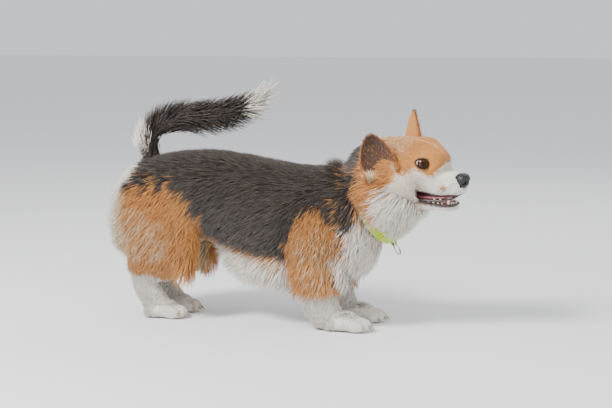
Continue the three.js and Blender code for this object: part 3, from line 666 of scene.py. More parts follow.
# %% Eyeballs
def hoop(middle, a, radius, height, across, up, axle):
    """Round a circle: middle + radius (cos a across + sin a up) + height axle."""
    a, radius, height = (v[..., None] for v in np.broadcast_arrays(a, radius, height))
    return middle + radius * (np.cos(a) * across + np.sin(a) * up) + height * axle


def piece(name, parts, in_head=True):
    """One object from closed forms, in the head's frame or the body's, with all faces outwards."""
    points, faces = joined(parts)
    thing = new_mesh(name, metres(from_head(points) if in_head else points), faces)
    work = bmesh.new()
    work.from_mesh(thing.data)
    bmesh.ops.recalc_face_normals(work, faces=work.faces)
    work.to_mesh(thing.data)
    work.free()
    return thing


def eyeball(name, side):
    """Rings round the gaze: radius R sin a, forward R cos a, pushed out 0.9 mm over the cornea."""
    gaze, inner, _ = eye_axes(side)
    look_at = unit(gaze + 0.12 * inner)
    inner = unit(np.cross(look_at, np.cross(inner, look_at)))
    a, b = np.linspace(0.001, np.pi - 0.001, 60)[:, None], once_round(64)
    radius = EYE_RADIUS + 0.9 * np.exp(-((a / 0.55) ** 4))
    centre, up = EYE_AT * [1, side, 1], np.cross(look_at, inner)
    grid = hoop(centre, b, radius * np.sin(a), radius * np.cos(a), inner, up, look_at)
    ball = piece("eye_of_glass_" + name, [closed(grid)])
    floats(ball.data, "angle", np.append(np.repeat(a, len(b)), [0, np.pi]))
    floats(ball.data, "round", np.append(np.tile(b, len(a)), [0, 0]))
    return ball


eyes = {name: eyeball(name, side) for name, side in SIDES.items()}
print("eyes:", list(eyes))

# %% [markdown]
# The nose is a block of leathery skin: a rounded box, flatter in front, with a groove down the middle and
# two nostrils that run back and curl outwards.

# %% Nose
def nose_form(steps=120, around=128):
    """A ball stretched three ways; nostrils and the groove are bell-shaped hollows pressed into it."""
    s, a = np.linspace(0.01, np.pi - 0.01, steps)[:, None], once_round(around)
    ring = np.sin(s) ** 0.85
    sides, rise = (ring * signed_power(wave, 0.85) for wave in (np.cos(a), np.sin(a)))
    ball = np.broadcast_arrays(signed_power(np.cos(s), 0.8), sides, rise)
    grid = np.stack(ball, -1) * [11.5, 14.2, 13.2]
    x, y, z = np.moveaxis(grid, -1, 0)
    below = np.clip(-z / 11.6, 0, 1)
    y *= 1 - 0.24 * below
    x -= 2.2 * below
    aside, front = np.abs(y), np.clip((x + 3) / 6, 0, 1)
    hole = bell((aside - 6.8) / 2.7, (z + 0.2) / 2.9)
    slit = bell((aside - 10.5) / 3.0, (z + 3.6 + 0.25 * (aside - 10)) / 1.2)
    wing = bell((aside - 10.2) / 2.4, (z - 2.4) / 3.4)
    groove = bell(aside / 0.9) * (z < 3)
    x += front * (-7.5 * hole - 4.0 * slit - 1.1 * groove + 1.0 * wing)
    y -= np.sign(y) * 1.8 * hole * front
    return grid + [166, 0, -7.5]


nose = piece("nose_leather", [closed(nose_form())])
print("the nose has", len(nose.data.vertices), "points")

# %% [markdown]
# The mouth is open a little. A dark, moist lip runs along each jaw, the tongue lies on a pink floor and
# a few of the lower teeth show. The roof and cheeks inside are one dark pink sheet.

# %% Lips and tongue
def carried(path, radius):
    """A round profile carried along a smooth path: its radius falls to both ends as sqrt(t (1 - t))."""
    path = np.asarray(path, float)
    t = np.linspace(0, 1, 16)
    r = radius * np.minimum(1, 3.2 * np.sqrt(np.maximum(t * (1 - t), 0.004)))
    return loft(np.column_stack([along_rows(path, t), r, r, r]), UPRIGHT, 60, 14, 1.0)


UPPER_LIP = np.array(
    [
        [90, 25.3, -39.5],
        [104, 26.2, -41],
        [120, 24.4, -41],
        [138, 20.6, -39.6],
        [152, 14.6, -36.4],
        [162, 3, -31.5],
    ]
)
LOWER_LIP = np.array(
    [
        [92, 24.5, -37],
        [104, 24.8, -44.5],
        [118, 21.6, -47.6],
        [134, 18, -49.2],
        [146, 14, -49.4],
        [153.5, 7, -49.2],
        [155, 0, -49],
    ]
)
LIPS = [(UPPER_LIP, 1.5), (LOWER_LIP, 2.1)]
lip_parts = [closed(carried(path * [1, side, 1], r)) for side in SIDES.values() for path, r in LIPS]
lips = piece("lips", lip_parts)

TONGUE = [
    [84, 0, -44, 9, 3, 3],
    [100, 0, -43, 13.5, 3.4, 3.2],
    [116, 0, -43.6, 13.5, 3.6, 3.2],
    [130, 0, -45.2, 12, 3.2, 3],
    [141, 0, -46.8, 8, 2.6, 2.4],
    [147, 0, -47.4, 2.5, 1.4, 1.2],
]
tongue_grid = loft(TONGUE, UPRIGHT, 60, 40, 0.9)
tongue_grid[..., 2] -= 1.3 * bell(tongue_grid[..., 1] / 2.5) * (tongue_grid[..., 2] > -44.5)
tongue = piece("tongue_flesh", [closed(tongue_grid)])
print("lips of", len(lip_parts), "lengths and a tongue of", len(TONGUE), "stations")

# %% [markdown]
# Inside, floor, roof and throat are three flat lofts in one dark pink piece. The teeth are small cones that
# start inside it: short ones in front, one long fang on each side, then low broad ones.

# %% Lining and teeth
LINING = [
    [
        [80, 0, -49, 22, 3, 6],
        [100, 0, -48, 21.5, 3, 6],
        [120, 0, -49, 18.5, 2.5, 6],
        [138, 0, -49.8, 15.5, 2, 6],
        [151, 0, -49.8, 10, 1.6, 5],
        [154, 0, -50, 3, 1, 2],
    ],  # floor
    [
        [80, 0, -38, 20, 3, 3],
        [100, 0, -37, 23, 3, 3],
        [120, 0, -37, 21, 3, 3],
        [140, 0, -35.5, 18, 3, 2.6],
        [154, 0, -33, 12, 3, 2],
        [160, 0, -31, 4, 1, 1],
    ],  # roof
    [[70, 0, -42, 12, 9, 9], [84, 0, -41, 21, 9, 9], [92, 0, -40, 22, 6, 7], [97, 0, -40, 14, 3, 4]],  # back
]
palate = piece("mouth_lining", [closed(loft(rows, UPRIGHT, 40, 36)) for rows in LINING])


def tooth(x, y, base, high, wide, lean):
    """A cone whose radius falls as (1 - t)^0.6, leaning a little outwards."""
    t = np.linspace(0, 1, 12)
    r = wide * np.sqrt(1 - t) ** 1.2 + 0.05
    rows = np.column_stack([x - 1.5 * t * t, y + lean * t, base + high * t, r, r, r])
    return closed(loft(rows, FORWARD, 14, 14, 1.0))


LOWER_TEETH = [
    [152, 2.0, 5.0, 1.7],
    [151, 5.4, 5.4, 1.8],
    [149, 8.4, 5.6, 1.8],
    [144, 11.4, 12.5, 2.7],
    [134, 13.6, 4.6, 2.5],
    [127, 14.8, 5.8, 3.0],
    [119, 16.2, 6.6, 3.4],
    [110, 17.6, 8.0, 3.8],
]
UPPER_TEETH = [
    [155, 2.2, 4, 1.8],
    [154, 6, 4.4, 1.9],
    [152, 9.4, 5, 2.0],
    [146, 13.5, 9, 2.7],
    [132, 17.4, 3, 2.6],
    [122, 19, 4, 3.2],
]  # forward, aside, height, radius
tooth_parts = []
for side in SIDES.values():
    for x, y, high, wide in LOWER_TEETH:
        tooth_parts.append(tooth(x, side * y, -51.5, high + 1.5, wide, 1.2 * side))
    for x, y, high, wide in UPPER_TEETH:
        tooth_parts.append(tooth(x, side * y, -35.5 + 0.1 * (x - 150), -high, wide, 0.4 * side))
teeth = piece("teeth", tooth_parts)
print(len(tooth_parts), "teeth")

# %% [markdown]
# Claws are short horn cones that curve down to the ground, one on each toe. They start inside the toe.

# %% Claws
claw_parts = []
for heel, y, scale in FEET:
    for across, reach, size in TOES:
        t = np.linspace(0, 1, 10)
        path = [
            heel + (66 + reach) * scale + 10 * size * scale + 11 * size * t,
            y + across * scale + 0 * t,
            11.5 - 1.5 * t - 6.5 * t**2,
        ]
        radii = [r * np.sqrt(1 - 0.97 * t) for r in (2.1, 2.5, 2.0)]
        claw_parts.append(closed(loft(np.column_stack(path + radii), UPRIGHT, 16, 12, 1.0)))
claws = piece("claws", claw_parts, in_head=False)
print(len(claw_parts), "claws")

# %% [markdown]
# The collar is a loop of woven nylon webbing with a turned edge, a slider, a small loop and a split ring.
# The webbing is one flat profile carried round an oval. The weave is left to the material.

# %% Webbing of the collar
def collar_point(angle, radius, step):
    """centre + (side + radius) cos a left + (up + radius) sin a up + step along the collar's axis."""
    angle, radius, step = (v[..., None] for v in np.broadcast_arrays(angle, radius, step))
    side = (COLLAR["side"] + radius) * np.cos(angle) * LEFT
    return COLLAR["centre"] + side + (COLLAR["up"] + radius) * np.sin(angle) * COLLAR_UP + step * COLLAR_AXIS


def band(start, stop, inner, outer, half, steps):
    """A flat profile with rounded edges carried round part of the oval."""
    a, b = np.linspace(start, stop, steps)[:, None], once_round(40)
    radius = (inner + outer) / 2 + signed_power(np.sin(b), 0.6) * (outer - inner) / 2
    return collar_point(a, radius, signed_power(np.cos(b), 0.3) * half)


full = band(0, 2 * np.pi, 0.2, 2.0, 10.8, 240)[:-1]
strap = (full.reshape(-1, 3), grid_faces(*full.shape[:2], looped=True).tolist())
overlap = closed(band(-2.6, -0.9, 1.9, 3.4, 10.2, 90))
webbing = piece("collar_webbing", [strap, overlap], in_head=False)
print("the webbing has", len(webbing.data.polygons), "faces")

# %% [markdown]
# The slider is a small moulded frame: two bars along the webbing and three across it.

# %% Slider of the collar
SLIDER_AT = (-2.42, -2.31, -2.2)  # angles round the collar
b = once_round(16)
along_bar, across_bar = np.linspace(SLIDER_AT[0], SLIDER_AT[-1], 20)[:, None], np.linspace(-12, 12, 20)[:, None]
bars = [collar_point(along_bar, 2.6 + 1.9 * np.sin(b), edge + 1.4 * np.cos(b)) for edge in (-11.5, 11.5)]
bars += [collar_point(a + 0.02 * np.cos(b), 3.8 + 1.2 * np.sin(b), across_bar) for a in SLIDER_AT]
slider = piece("collar_slider", [closed(bar) for bar in bars], in_head=False)
print("the slider has", len(bars), "bars")

# %% [markdown]
# A narrow loop of the same webbing holds the split ring. The ring is one springy wire wound round twice,
# so its two turns lie side by side and cross over at one place.

# %% Loop and split ring
a, b = once_round(64)[:, None], once_round(24)
under = COLLAR["centre"] - (COLLAR["up"] + 6.0) * COLLAR_UP
loop_grid = hoop(under, a, 4.1 + 0.9 * np.sin(b), 4.3 * signed_power(np.cos(b), 0.4), COLLAR_AXIS, -COLLAR_UP, LEFT)
loop_faces = grid_faces(64, 24, looped=True).tolist()
keeper = piece("collar_loop", [(loop_grid.reshape(-1, 3), loop_faces)], in_head=False)

RING_RADIUS, WIRE_RADIUS = 11.5, 0.72
low, high = (np.array(corner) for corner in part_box("collar_ring"))
ring_middle = ((low + high) / 2 - SHIFT) * 1000
a, b = np.linspace(0, 4 * np.pi, 220)[:, None], once_round(12)
lay = 0.75 * np.tanh((a - 2 * np.pi) * 1.6)
wire = (RING_RADIUS + WIRE_RADIUS * np.cos(b), WIRE_RADIUS * np.sin(b) + lay)
ring_grid = hoop(ring_middle, a, *wire, LEFT, COLLAR_UP, COLLAR_AXIS)
split_ring = piece("split_ring", [closed(ring_grid)], in_head=False)
print("the ring hangs at", np.round(ring_middle), "mm")

# %% [markdown]
# The coat's markings are one function of place, used by both skin and hair, so the two always agree.
# A smooth random field, made of a few sine waves, keeps the borders from looking drawn. The function
# gives each place a share of black, tan, cream and white.

# %% Tones and shares
TONES = {
    "black": ("#1f1a18", "#5d4f43"),
    "tan": ("#dd9c52", "#bb7330"),
    "cream": ("#ead3ad", "#d2b184"),
    "white": ("#f9f4ec", "#eadfce"),
    "rust": ("#bd6c26", "#94501d"),
}
KINDS = list(TONES)


def linear(code):
    """An sRGB hex colour as linear light: v / 12.92 when dark, ((v + 0.055) / 1.055)^2.4 otherwise."""
    v = np.array([int(code[k : k + 2], 16) for k in (1, 3, 5)]) / 255
    return np.where(v <= 0.04045, v / 12.92, ((v + 0.055) / 1.055) ** 2.4)


PALETTE, TWINS = (np.array([linear(pair[k]) for pair in TONES.values()]) for k in (0, 1))


def wander(p, scale, seed):
    """A smooth random field: eight sine waves in random directions, added, about one unit high."""
    rng = np.random.default_rng(seed)
    waves = rng.normal(size=(3, 8)) * 3.6 / scale
    return np.sin(p @ waves + rng.uniform(0, 6.28, 8)).sum(1) / 2


def step(low, high, v):
    """A smooth step from 0 at low to 1 at high."""
    t = np.clip((v - low) / (high - low), 0, 1)
    return t * t * (3 - 2 * t)


def layered(base, layers):
    """Hair laid over a base kind, in turn: share (1 - amount), plus amount for the layer's own kind."""
    share = np.zeros((len(layers[0][0]), len(KINDS)))
    share[:, KINDS.index(base)] = 1
    for amount, kind in layers:
        share *= 1 - amount[:, None]
        share[:, KINDS.index(kind)] += amount
    return share


def inside(x, z, cx, cz, rx, rz):
    """How far in an oval a place is, in millimetres of its smaller radius."""
    return min(rx, rz) * (1 - np.sqrt(((x - cx) / rx) ** 2 + ((z - cz) / rz) ** 2))


def skin_colours(share):
    """The mean colour of the hairs that grow at a place, a little darker as painted shade, since it lies under the
    coat.
    """
    return np.column_stack([share @ (0.6 * PALETTE + 0.4 * TWINS) * 0.8, np.ones(len(share))])


def hair_colours(share, rng):
    """Each lock takes one kind of hair, drawn by the shares, between that kind's two tones."""
    kind = (rng.random(len(share))[:, None] > np.cumsum(share, 1)).sum(1).clip(0, len(KINDS) - 1)
    mix = rng.random(len(share))[:, None] ** 1.5
    return PALETTE[kind] * (1 - mix) + TWINS[kind] * mix


print("kinds of hair:", KINDS)

# %% [markdown]
# On the body, a black saddle lies over tan shoulders and thighs, and the chest, belly, feet, breeches and
# the tail's tip are white. Each layer below covers the ones before it. Places are in millimetres.

# %% Markings of the body
def body_marks(p):
    """Shares of the kinds of hair over the trunk, legs, neck and tail."""
    x, y, z = p.T
    a = np.abs(y)
    n = 4.5 * wander(p, 40, 3) + 2 * wander(p, 12, 4)
    belly = 132 + 0.0009 * (x + 20) ** 2
    below = (x > -235) & (x < 80)
    streak = wander(p * [1, 1, 0.25], 9, 8) > 0.5
    layers = [
        (step(-4, 8, belly + 9 - z + n) * below, "tan"),
        (step(-5, 8, belly - z + 0.8 * n) * below, "white"),  # belly
        (step(-10, 10, inside(x, z, -290, 166, 114, 86) + 1.2 * n) * step(26, 42, a), "tan"),  # thigh
        (step(48, 34, a) * step(165, 140, z) * (x < -200), "cream"),
        (0.35 * step(8, 40, inside(x, z, -300, 150, 90, 70) + 1.5 * n) * step(30, 50, a), "cream"),
        (step(-9, 9, inside(x, z, 24, 136, 51, 72) + n) * step(25, 40, a), "tan"),  # shoulder
        (0.25 * step(4, 26, inside(x, z, 24, 130, 50, 70) + n) * step(30, 50, a), "cream"),
        (step(-8, 10, x - 66 - 0.22 * (z - 150) + 1.3 * n) * (z < 250), "white"),  # chest
        (0.6 * streak * step(50, 66, x) * step(102, 84, x) * (z > 140) * (z < 235), "tan"),
        (step(-14, 12, -x - 329 + 0.8 * n - 0.05 * (z - 150)) * (z < 258), "cream"),  # breeches
        (0.85 * step(-10, 10, -x - 344 + 0.6 * n) * (z < 254), "white"),
        (step(-4, 6, 122 - z) * (x < -240) * (x > -350) * step(40, 46, a), "tan"),
        (step(-6, 8, 90 - z + n - 0.16 * (x + 320)) * (x < -215), "white"),  # hind leg
    ]
    # Painted shade: the gaps between the toes get cream, darker than the white, where shade would fall.
    for heel, foot_y, scale in PAWS:
        for gap in TOE_GAPS:
            between = bell((a - foot_y - gap * scale) / 1.9)
            between = between * step(heel + 50, heel + 62, x) * (x < heel + 110) * (z < 30)
            layers.append((0.8 * between, "cream"))
    front, height = by_collar(p)
    neck = step(-16, -6, front) * (z > 120)
    nape = step(18, 2, front + 0.8 * n - 40 * step(0.35, 0.8, height))
    throat = step(-8, 8, x - 126 - 0.28 * (z - 165) + 1.1 * n)
    is_tail = (z > 318) & (x < -60)
    root = (x < -285) & (z > 250) & (z < 372)
    layers += [
        (step(0.3, 0.8, bell((x + 322) / 14, (z - 100) / 16)), "tan"),  # crease of the hock
        (step(-8, 6, 72 - z + n) * (x > -40), "white"),  # foreleg
        (neck, "tan"),
        (neck * step(-0.15, 0.15, height) * nape, "black"),
        (neck * np.maximum(throat, step(-0.5, -0.75, height)), "white"),
        (step(-332, -340, x) * (z > 235), "white"),  # rump under the tail
        (is_tail * 1.0, "black"),
        (step(-8, 10, x + 158 + 0.8 * n) * is_tail * (z > 350), "white"),  # tip of the tail
        (step(-3, 4, -x - 319 - 0.9 * np.maximum(z - 318, 0) + 0.3 * n) * root, "white"),
    ]
    return layered("black", layers)


# %% [markdown]
# The head is white where the muzzle is and tan above a line that runs from the cheek under the eye to the
# brow. A black patch on the nape joins the saddle.

# %% Markings of the head
TAN_LINE = ([30, 44, 56, 68, 90, 108, 118, 130, 137, 146], [-90, -56, -12, 3, 8, 8, 3, 7, 16, 40])


def head_marks(p):
    """Shares of the kinds of hair over the head, from points in the head's own frame."""
    x, y, z = p.T
    a = np.abs(y)
    n = 3.2 * wander(p, 20, 12) + 1.5 * wander(p, 7, 13)
    tear = step(3, -3, np.abs(x - 124 - 0.4 * (10 - z)) - 7 + 0.6 * n)
    layers = [
        (step(-4, 5, z - np.interp(x, *TAN_LINE) + n), "tan"),
        (step(-5, 5, n + 38 - x) * (z < 40), "tan"),
        (0.18 * step(3.2, 1.2, a + 0.3 * n - 1.5 * step(120, 90, x)) * step(78, 96, x), "white"),  # blaze
        (step(-3, 3, x - 137 - 0.25 * (z - 10) + n) * (z > -4), "white"),
        (0.35 * step(96, 70, x) * step(30, 48, z), "cream"),  # crown
        (step(26, 8, x + 0.5 * n) * step(-10, 14, z), "black"),  # nape
        (0.8 * step(0.2, 0.8, bell((x - 142) / 8, (a - 22) / 8, (z + 17) / 5)), "tan"),  # spot on the lip
        (0.75 * step(0.3, 0.9, bell((x - 104) / 7, (a - 26) / 7, (z - 42) / 5)), "white"),  # brow
        (0.65 * tear * step(2, 7, z) * step(30, 22, z) * step(27, 19, a), "rust"),  # before the eye
        (0.6 * step(7, -3, np.abs(x - 43 + 0.5 * n) - 7) * step(4, -8, z), "rust"),  # behind the cheek
        (0.35 * step(-6, 6, 12 - z + n) * step(56, 74, x) * step(118, 96, x), "cream"),  # cheek
    ]
    return layered("white", layers)


of_head = np.arange(len(skin_points)) >= len(body_points)
marks = np.where(of_head[:, None], head_marks(to_head(skin_points)), body_marks(skin_points))
print("share of each kind on the skin:", dict(zip(KINDS, marks.mean(0).round(2))))

# %% [markdown]
# Where hair grows is drawn at random on the skin, by area times a wanted density, so that it is even
# whatever the mesh. A triangle is picked by its share, then a point in it by two random numbers.

# %% Roots of the hair
def triangles(mesh):
    """A mesh's triangles, as numbers of points."""
    mesh.calc_loop_triangles()
    return read(mesh.loop_triangles, "vertices", 3, int)


def scatter(points, tris, weight, count, rng, *carried):
    """Places picked by area times weight, at (1 - sqrt r) a + sqrt r ((1 - s) b + s c), and what each carries."""
    a, b, c = (points[tris[:, k]] for k in range(3))
    area = np.linalg.norm(np.cross(b - a, c - a), axis=1) * weight
    pick = np.searchsorted(np.cumsum(area) / area.sum(), rng.random(count)).clip(0, len(tris) - 1)
    r, s = np.sqrt(rng.random((count, 1))), rng.random((count, 1))
    shares = [1 - r, r * (1 - s), r * s]
    return [sum(w * v[tris[pick, k]] for k, w in enumerate(shares)) for v in (points, *carried)]


skin_tris = triangles(skin.data)
skin_normals = read(skin.data.vertices, "normal", 3)
tri_middle = skin_points[skin_tris].mean(1)
tri_of_head = of_head[skin_tris[:, 0]]
print("hair can root on", len(skin_tris), "triangles")

# %% [markdown]
# A lock of hair is a thin closed spindle with a three-cornered section: a ring at the root, one or two
# rings on the way and a tip. It leaves the skin at an angle and bends over, the way the coat lies. A few
# dozen faces each is all it needs, because there are tens of thousands.

# %% One lock, many times
GATHER_SEEDS = np.array([[12.9898, 39.346, 73.156], [78.233, 11.135, 52.235], [37.719, 83.155, 9.151]])
CORNERS = np.radians([90, 210, 330])


def along_skin(v, out):
    """v with its part in the outward direction taken away: v - (v . out) out."""
    return v - (v * out).sum(1, keepdims=True) * out


def locks(root, out, lie, length, width, rise, rng, rings=2, clump=9.0, pull=0.22, curl=0.07):
    """p(t) = root + L (lie t + out * rise * (1.7 t - 0.7 t^2)) + gather and curl, both growing as t squared."""
    n = len(root)
    lie = unit(along_skin(lie, out))
    lie = unit(along_skin(unit(lie + rng.normal(0, 0.13, (n, 3))), out))
    beside = np.cross(out, lie)
    cell = np.floor(root / clump)
    seed = np.sin(cell @ GATHER_SEEDS) * 43758.5453
    gather = (cell + 0.2 + 0.6 * (seed - np.floor(seed))) * clump - root
    gather = along_skin(gather, out) * pull
    long = (length * rng.uniform(0.75, 1.15, n))[:, None]
    high = (rise * rng.uniform(0.7, 1.2, n))[:, None]
    bend = rng.normal(0, curl, n)[:, None]
    points = []
    for t in np.arange(rings + 1) / rings:
        middle = root - 1.2 * out * (1 - t) + long * (lie * t * (1 - 0.12 * t) + beside * bend * t * t)
        middle = middle + high * out * (1.7 * t - 0.7 * t * t) + gather * t * t
        if t == 1:
            points.append(middle[:, None])
            break
        fat = (width * (1 - t**1.6))[:, None, None]
        flat = fat * np.cos(CORNERS)[None, :, None] * beside[:, None]
        thick = 0.5 * fat * np.sin(CORNERS)[None, :, None] * out[:, None]
        points.append(middle[:, None] + flat + thick)
    return np.concatenate(points, 1)


def lock_faces(rings):
    """Triangles of one lock: a cap at the root, two per side between rings, one per side at the tip."""
    faces = [[0, 2, 1]]
    for r in range(rings - 1):
        for k in range(3):
            a, b = 3 * r + k, 3 * r + (k + 1) % 3
            faces += [[a, b, b + 3], [a, b + 3, a + 3]]
    last = 3 * (rings - 1)
    faces += [[last + k, last + (k + 1) % 3, 3 * rings] for k in range(3)]
    return np.array(faces)


def coat_piece(name, shape, colour, spot, rings):
    """Writes locks into one mesh: points, triangles, colour, place along the lock, and the baking patch."""
    n, per = shape.shape[:2]
    faces = (lock_faces(rings)[None] + (np.arange(n) * per)[:, None, None]).reshape(-1, 3)
    mesh = bpy.data.meshes.new(name)
    mesh.vertices.add(n * per)
    mesh.loops.add(faces.size)
    mesh.polygons.add(len(faces))
    mesh.vertices.foreach_set("co", metres(shape.reshape(-1, 3)).astype(np.float32).ravel())
    mesh.loops.foreach_set("vertex_index", faces.ravel().astype(np.int32))
    mesh.polygons.foreach_set("loop_start", np.arange(0, faces.size, 3, dtype=np.int32))
    mesh.polygons.foreach_set("loop_total", np.full(len(faces), 3, np.int32))
    thing = placed(name, mesh)
    along = np.append(np.repeat(np.arange(rings) / rings, 3), 1.0)
    across = np.append(np.tile([0.0, 1.0, 2.0], rings), 1.0) / 2 - 0.5
    floats(mesh, "along", np.tile(along, n))
    floats(mesh, "coat", np.repeat(np.column_stack([colour, np.ones(n)]), per, 0), "FLOAT_COLOR")
    patch = spot[:, None] + 0.003 * np.stack([across, along - 0.5], -1)[None]
    uv = np.clip(patch, 0.001, 0.999).reshape(-1, 2)[faces.ravel()].astype(np.float32)
    mesh.uv_layers.new(name="OFBake").data.foreach_set("uv", uv.ravel())
    return thing


def wrap(along, low, high, angle):
    """A place on the unwrap: how far along the form, and the angle round it, both from 0 to 1."""
    run = np.clip((along - low) / (high - low), 0, 1) * 0.98 + 0.01
    return np.stack([run, angle / (2 * np.pi) * 0.98 + 0.5], 1)


print("a lock has", len(lock_faces(2)), "triangles, a long one", len(lock_faces(3)))

# %% [markdown]
# The lie of the coat is a field of directions: back along the trunk, down the flanks and the chest, round
# the thigh, down the legs, forward on the toes and along the tail. Length, width and how far the hair
# stands off follow the same regions. Each layer below covers the ones before it.

# %% Lie and length of the coat
TAIL_PATH = along_rows(TAIL, np.linspace(0, 1, 90))[:, :3]
TAIL_STOPS = [0, 20, 70, 89]


def blend_in(base, share, value):
    """base where share is 0, value where it is 1."""
    share = share[:, None] if base.ndim == 2 else share
    return base * (1 - share) + np.asarray(value, float) * share


def combed(coat, layers):
    """Lays new lie, length, width and rise over a coat by each layer's share; None leaves one as it is."""
    for share, *values in layers:
        coat = [old if new is None else blend_in(old, share, new) for old, new in zip(coat, values)]
    return coat


def along_tail(p):
    """The nearest stop on the tail's path, how far it is, and the path's direction there."""
    gap = np.linalg.norm(p[:, None] - TAIL_PATH[None, ::3], axis=2)
    best = gap.argmin(1) * 3
    way = TAIL_PATH[np.minimum(best + 3, 89)] - TAIL_PATH[np.maximum(best - 3, 0)]
    return best, gap.min(1), unit(way)


def body_coat(p, out):
    """For each root: the lie, and length, width and rise in millimetres."""
    x, y, z = p.T
    a = np.abs(y)
    front, height = by_collar(p)
    neck = step(-4, 8, front) * (z > 130)
    under = step(-0.25, -0.7, height)
    forward = np.column_stack([-0.85 + 0.4 * under, 0 * x, -0.55 - 0.4 * under])
    belly_rise = 14 + 30 * step(0.3, 0.9, -out[:, 2])
    crest = step(-34, -22, front) * step(4, -6, front) * step(0.86, 0.97, height)
    back = np.column_stack([0 * x - 1, 0 * x, -0.22 - 0.55 * np.abs(out[:, 1])])
    toes = [step(32, 24, z) * step(heel + 14, heel + 26, x) * (x < heel + 110) * (a < 80) for heel, *_ in PAWS]
    coat = combed(
        [back, 0 * x + 28, 0 * x + 0.85, 0 * x + 9.5],
        [
            (step(30, 55, a) * step(250, 200, z), [-1, 0, -0.7], 28, 0.85, 9.5),  # flank
            (step(-12, 14, inside(x, z, 18, 150, 56, 88)) * step(22, 42, a), [-0.35, 0, -1], 22, 0.85, 8),  # shoulder
            (step(62, 92, x) * step(262, 235, z), [-0.35, 0, -1], 40, 1.15, 14),  # chest
            (step(-14, 12, inside(x, z, -296, 168, 118, 90)) * step(14, 32, a), [-0.5, 0, -0.85], 26, 0.9, 9.5),
            (step(142, 118, z) * (x > -235) * (x < 70), [-0.45, 0, -1], 44, 1.2, belly_rise),  # belly
            (step(-346, -366, x) * (z > 105), [-0.3, 0, -1], 38, 1.2, 6),  # breeches
            (step(108, 80, z) * (x < -215), [0.0, 0, -1], 12, 0.8, 4),  # hind leg
            (step(92, 72, z) * (x > -40), [-0.12, 0, -1], 10, 0.8, 3.5),  # foreleg
            (step(96, 76, z) * step(8, -6, x) * (x > -60) * step(26, 36, z), [-0.6, 0, -1], 26, 1.0, 8),  # elbow
            *((toe, [1, 0, -0.45], 4.0, 0.62, 0.9) for toe in toes),
            (neck, forward, 42 - 20 * under, 1.1, 15 - 7 * under + 6 * step(0.3, 0.8, height)),
            (crest, None, 34, None, 20),
        ],
    )
    flank = step(0.45, 0.1, np.abs(height + 0.15)) * step(2, 12, front) * step(30, 16, front)
    near = bell(front / 22) * (z > 130) * under
    coat[1] = coat[1] * (1 - 0.42 * flank) * (1 - 0.45 * near * (front > 0))
    coat[3] = coat[3] * (1 - 0.35 * near)
    best, gap, way = along_tail(p)
    tail = step(40, 28, gap) * (z > 285) * ((z > 325) | (x < -318))
    tail_rise = np.interp(best, TAIL_STOPS, [17, 21, 20, 8]) + 9 * np.clip(-out[:, 2], 0, 1)
    coat = combed(coat, [(tail, way, np.interp(best, TAIL_STOPS, [38, 46, 48, 34]), 1.2, tail_rise)])
    return *coat, tail, best


print("the tail's path has", len(TAIL_PATH), "stops")

# %% [markdown]
# Now the trunk, legs and tail get their coat. Roots under the collar's webbing or inside the head are
# left out, and long and short hair go into pieces of their own, none above 200,000 triangles.

# %% Coat of the body
FULL = 190000  # triangles in a piece, at most
BODY_ROOTS, HEAD_ROOTS, EAR_ROOTS = 90000, 44000, 6500


def inside_skull(p, room):
    """Whether a place is inside the skull: its distance in half widths, at the row where it lies, is under 1."""
    q = to_head(p)
    middle, half, up, down = (np.interp(q[:, 0], skull_rows[:, 0], skull_rows[:, k]) for k in (2, 3, 4, 5))
    tall = np.where(q[:, 2] > middle, up, down)
    d = np.hypot(q[:, 1] / (half + room), (q[:, 2] - middle) / (tall + room))
    return (d < 1) & (q[:, 0] > SKULL[0][0]) & (q[:, 0] < SKULL[-1][0])


def shared_out(name, slot, count, rings):
    """Names, each with its slot, for as many pieces as keep every one under FULL triangles."""
    pieces = int(np.ceil(count * len(lock_faces(rings)) / FULL))
    return [(name if pieces == 1 else f"{name}_{k + 1}", slot) for k in range(pieces)]


coat = []


def grow(pieces, order, shape, colour, spot, rings):
    """Deals locks, in order, out to pieces given as names with slots, and adds them to the coat."""
    for (name, slot), part in zip(pieces, np.array_split(order, len(pieces))):
        thing = coat_piece(name, shape[part], colour[part], spot[part], rings)
        coat.append((thing, slot))
        print(name, "has", len(part), "locks and", len(thing.data.polygons), "triangles")


x, _, z = tri_middle.T
density = np.where(z < 90, 1.6, 1.0) * np.where(z < 34, 1.5, 1.0) * np.where(x < -345, 1.2, 1.0)
density = density * np.where(z > 330, 1.3, 1.0) * (z > 3)
density = density * np.where((np.abs(by_collar(tri_middle)[0] - 20) < 10) & (z > 200), 2.2, 1.0)
root, out = scatter(skin_points, skin_tris, ~tri_of_head * density, BODY_ROOTS, RNG, skin_normals)
under_webbing = (np.abs(by_collar(root)[0]) < 11.5) & (root[:, 2] > 120)
kept = ~under_webbing & ~inside_skull(root, -3)
root, out = root[kept], unit(out[kept])
lie, long, wide, rise, tail_share, tail_place = body_coat(root, out)
colour = hair_colours(body_marks(root), RNG)
print("roots on the body:", len(root))

# %% [markdown]
# The locks are sorted into pieces by region. Each piece unwraps them by a plain rule, so that its colours
# can be baked: round the tail, round each leg, or round the trunk.

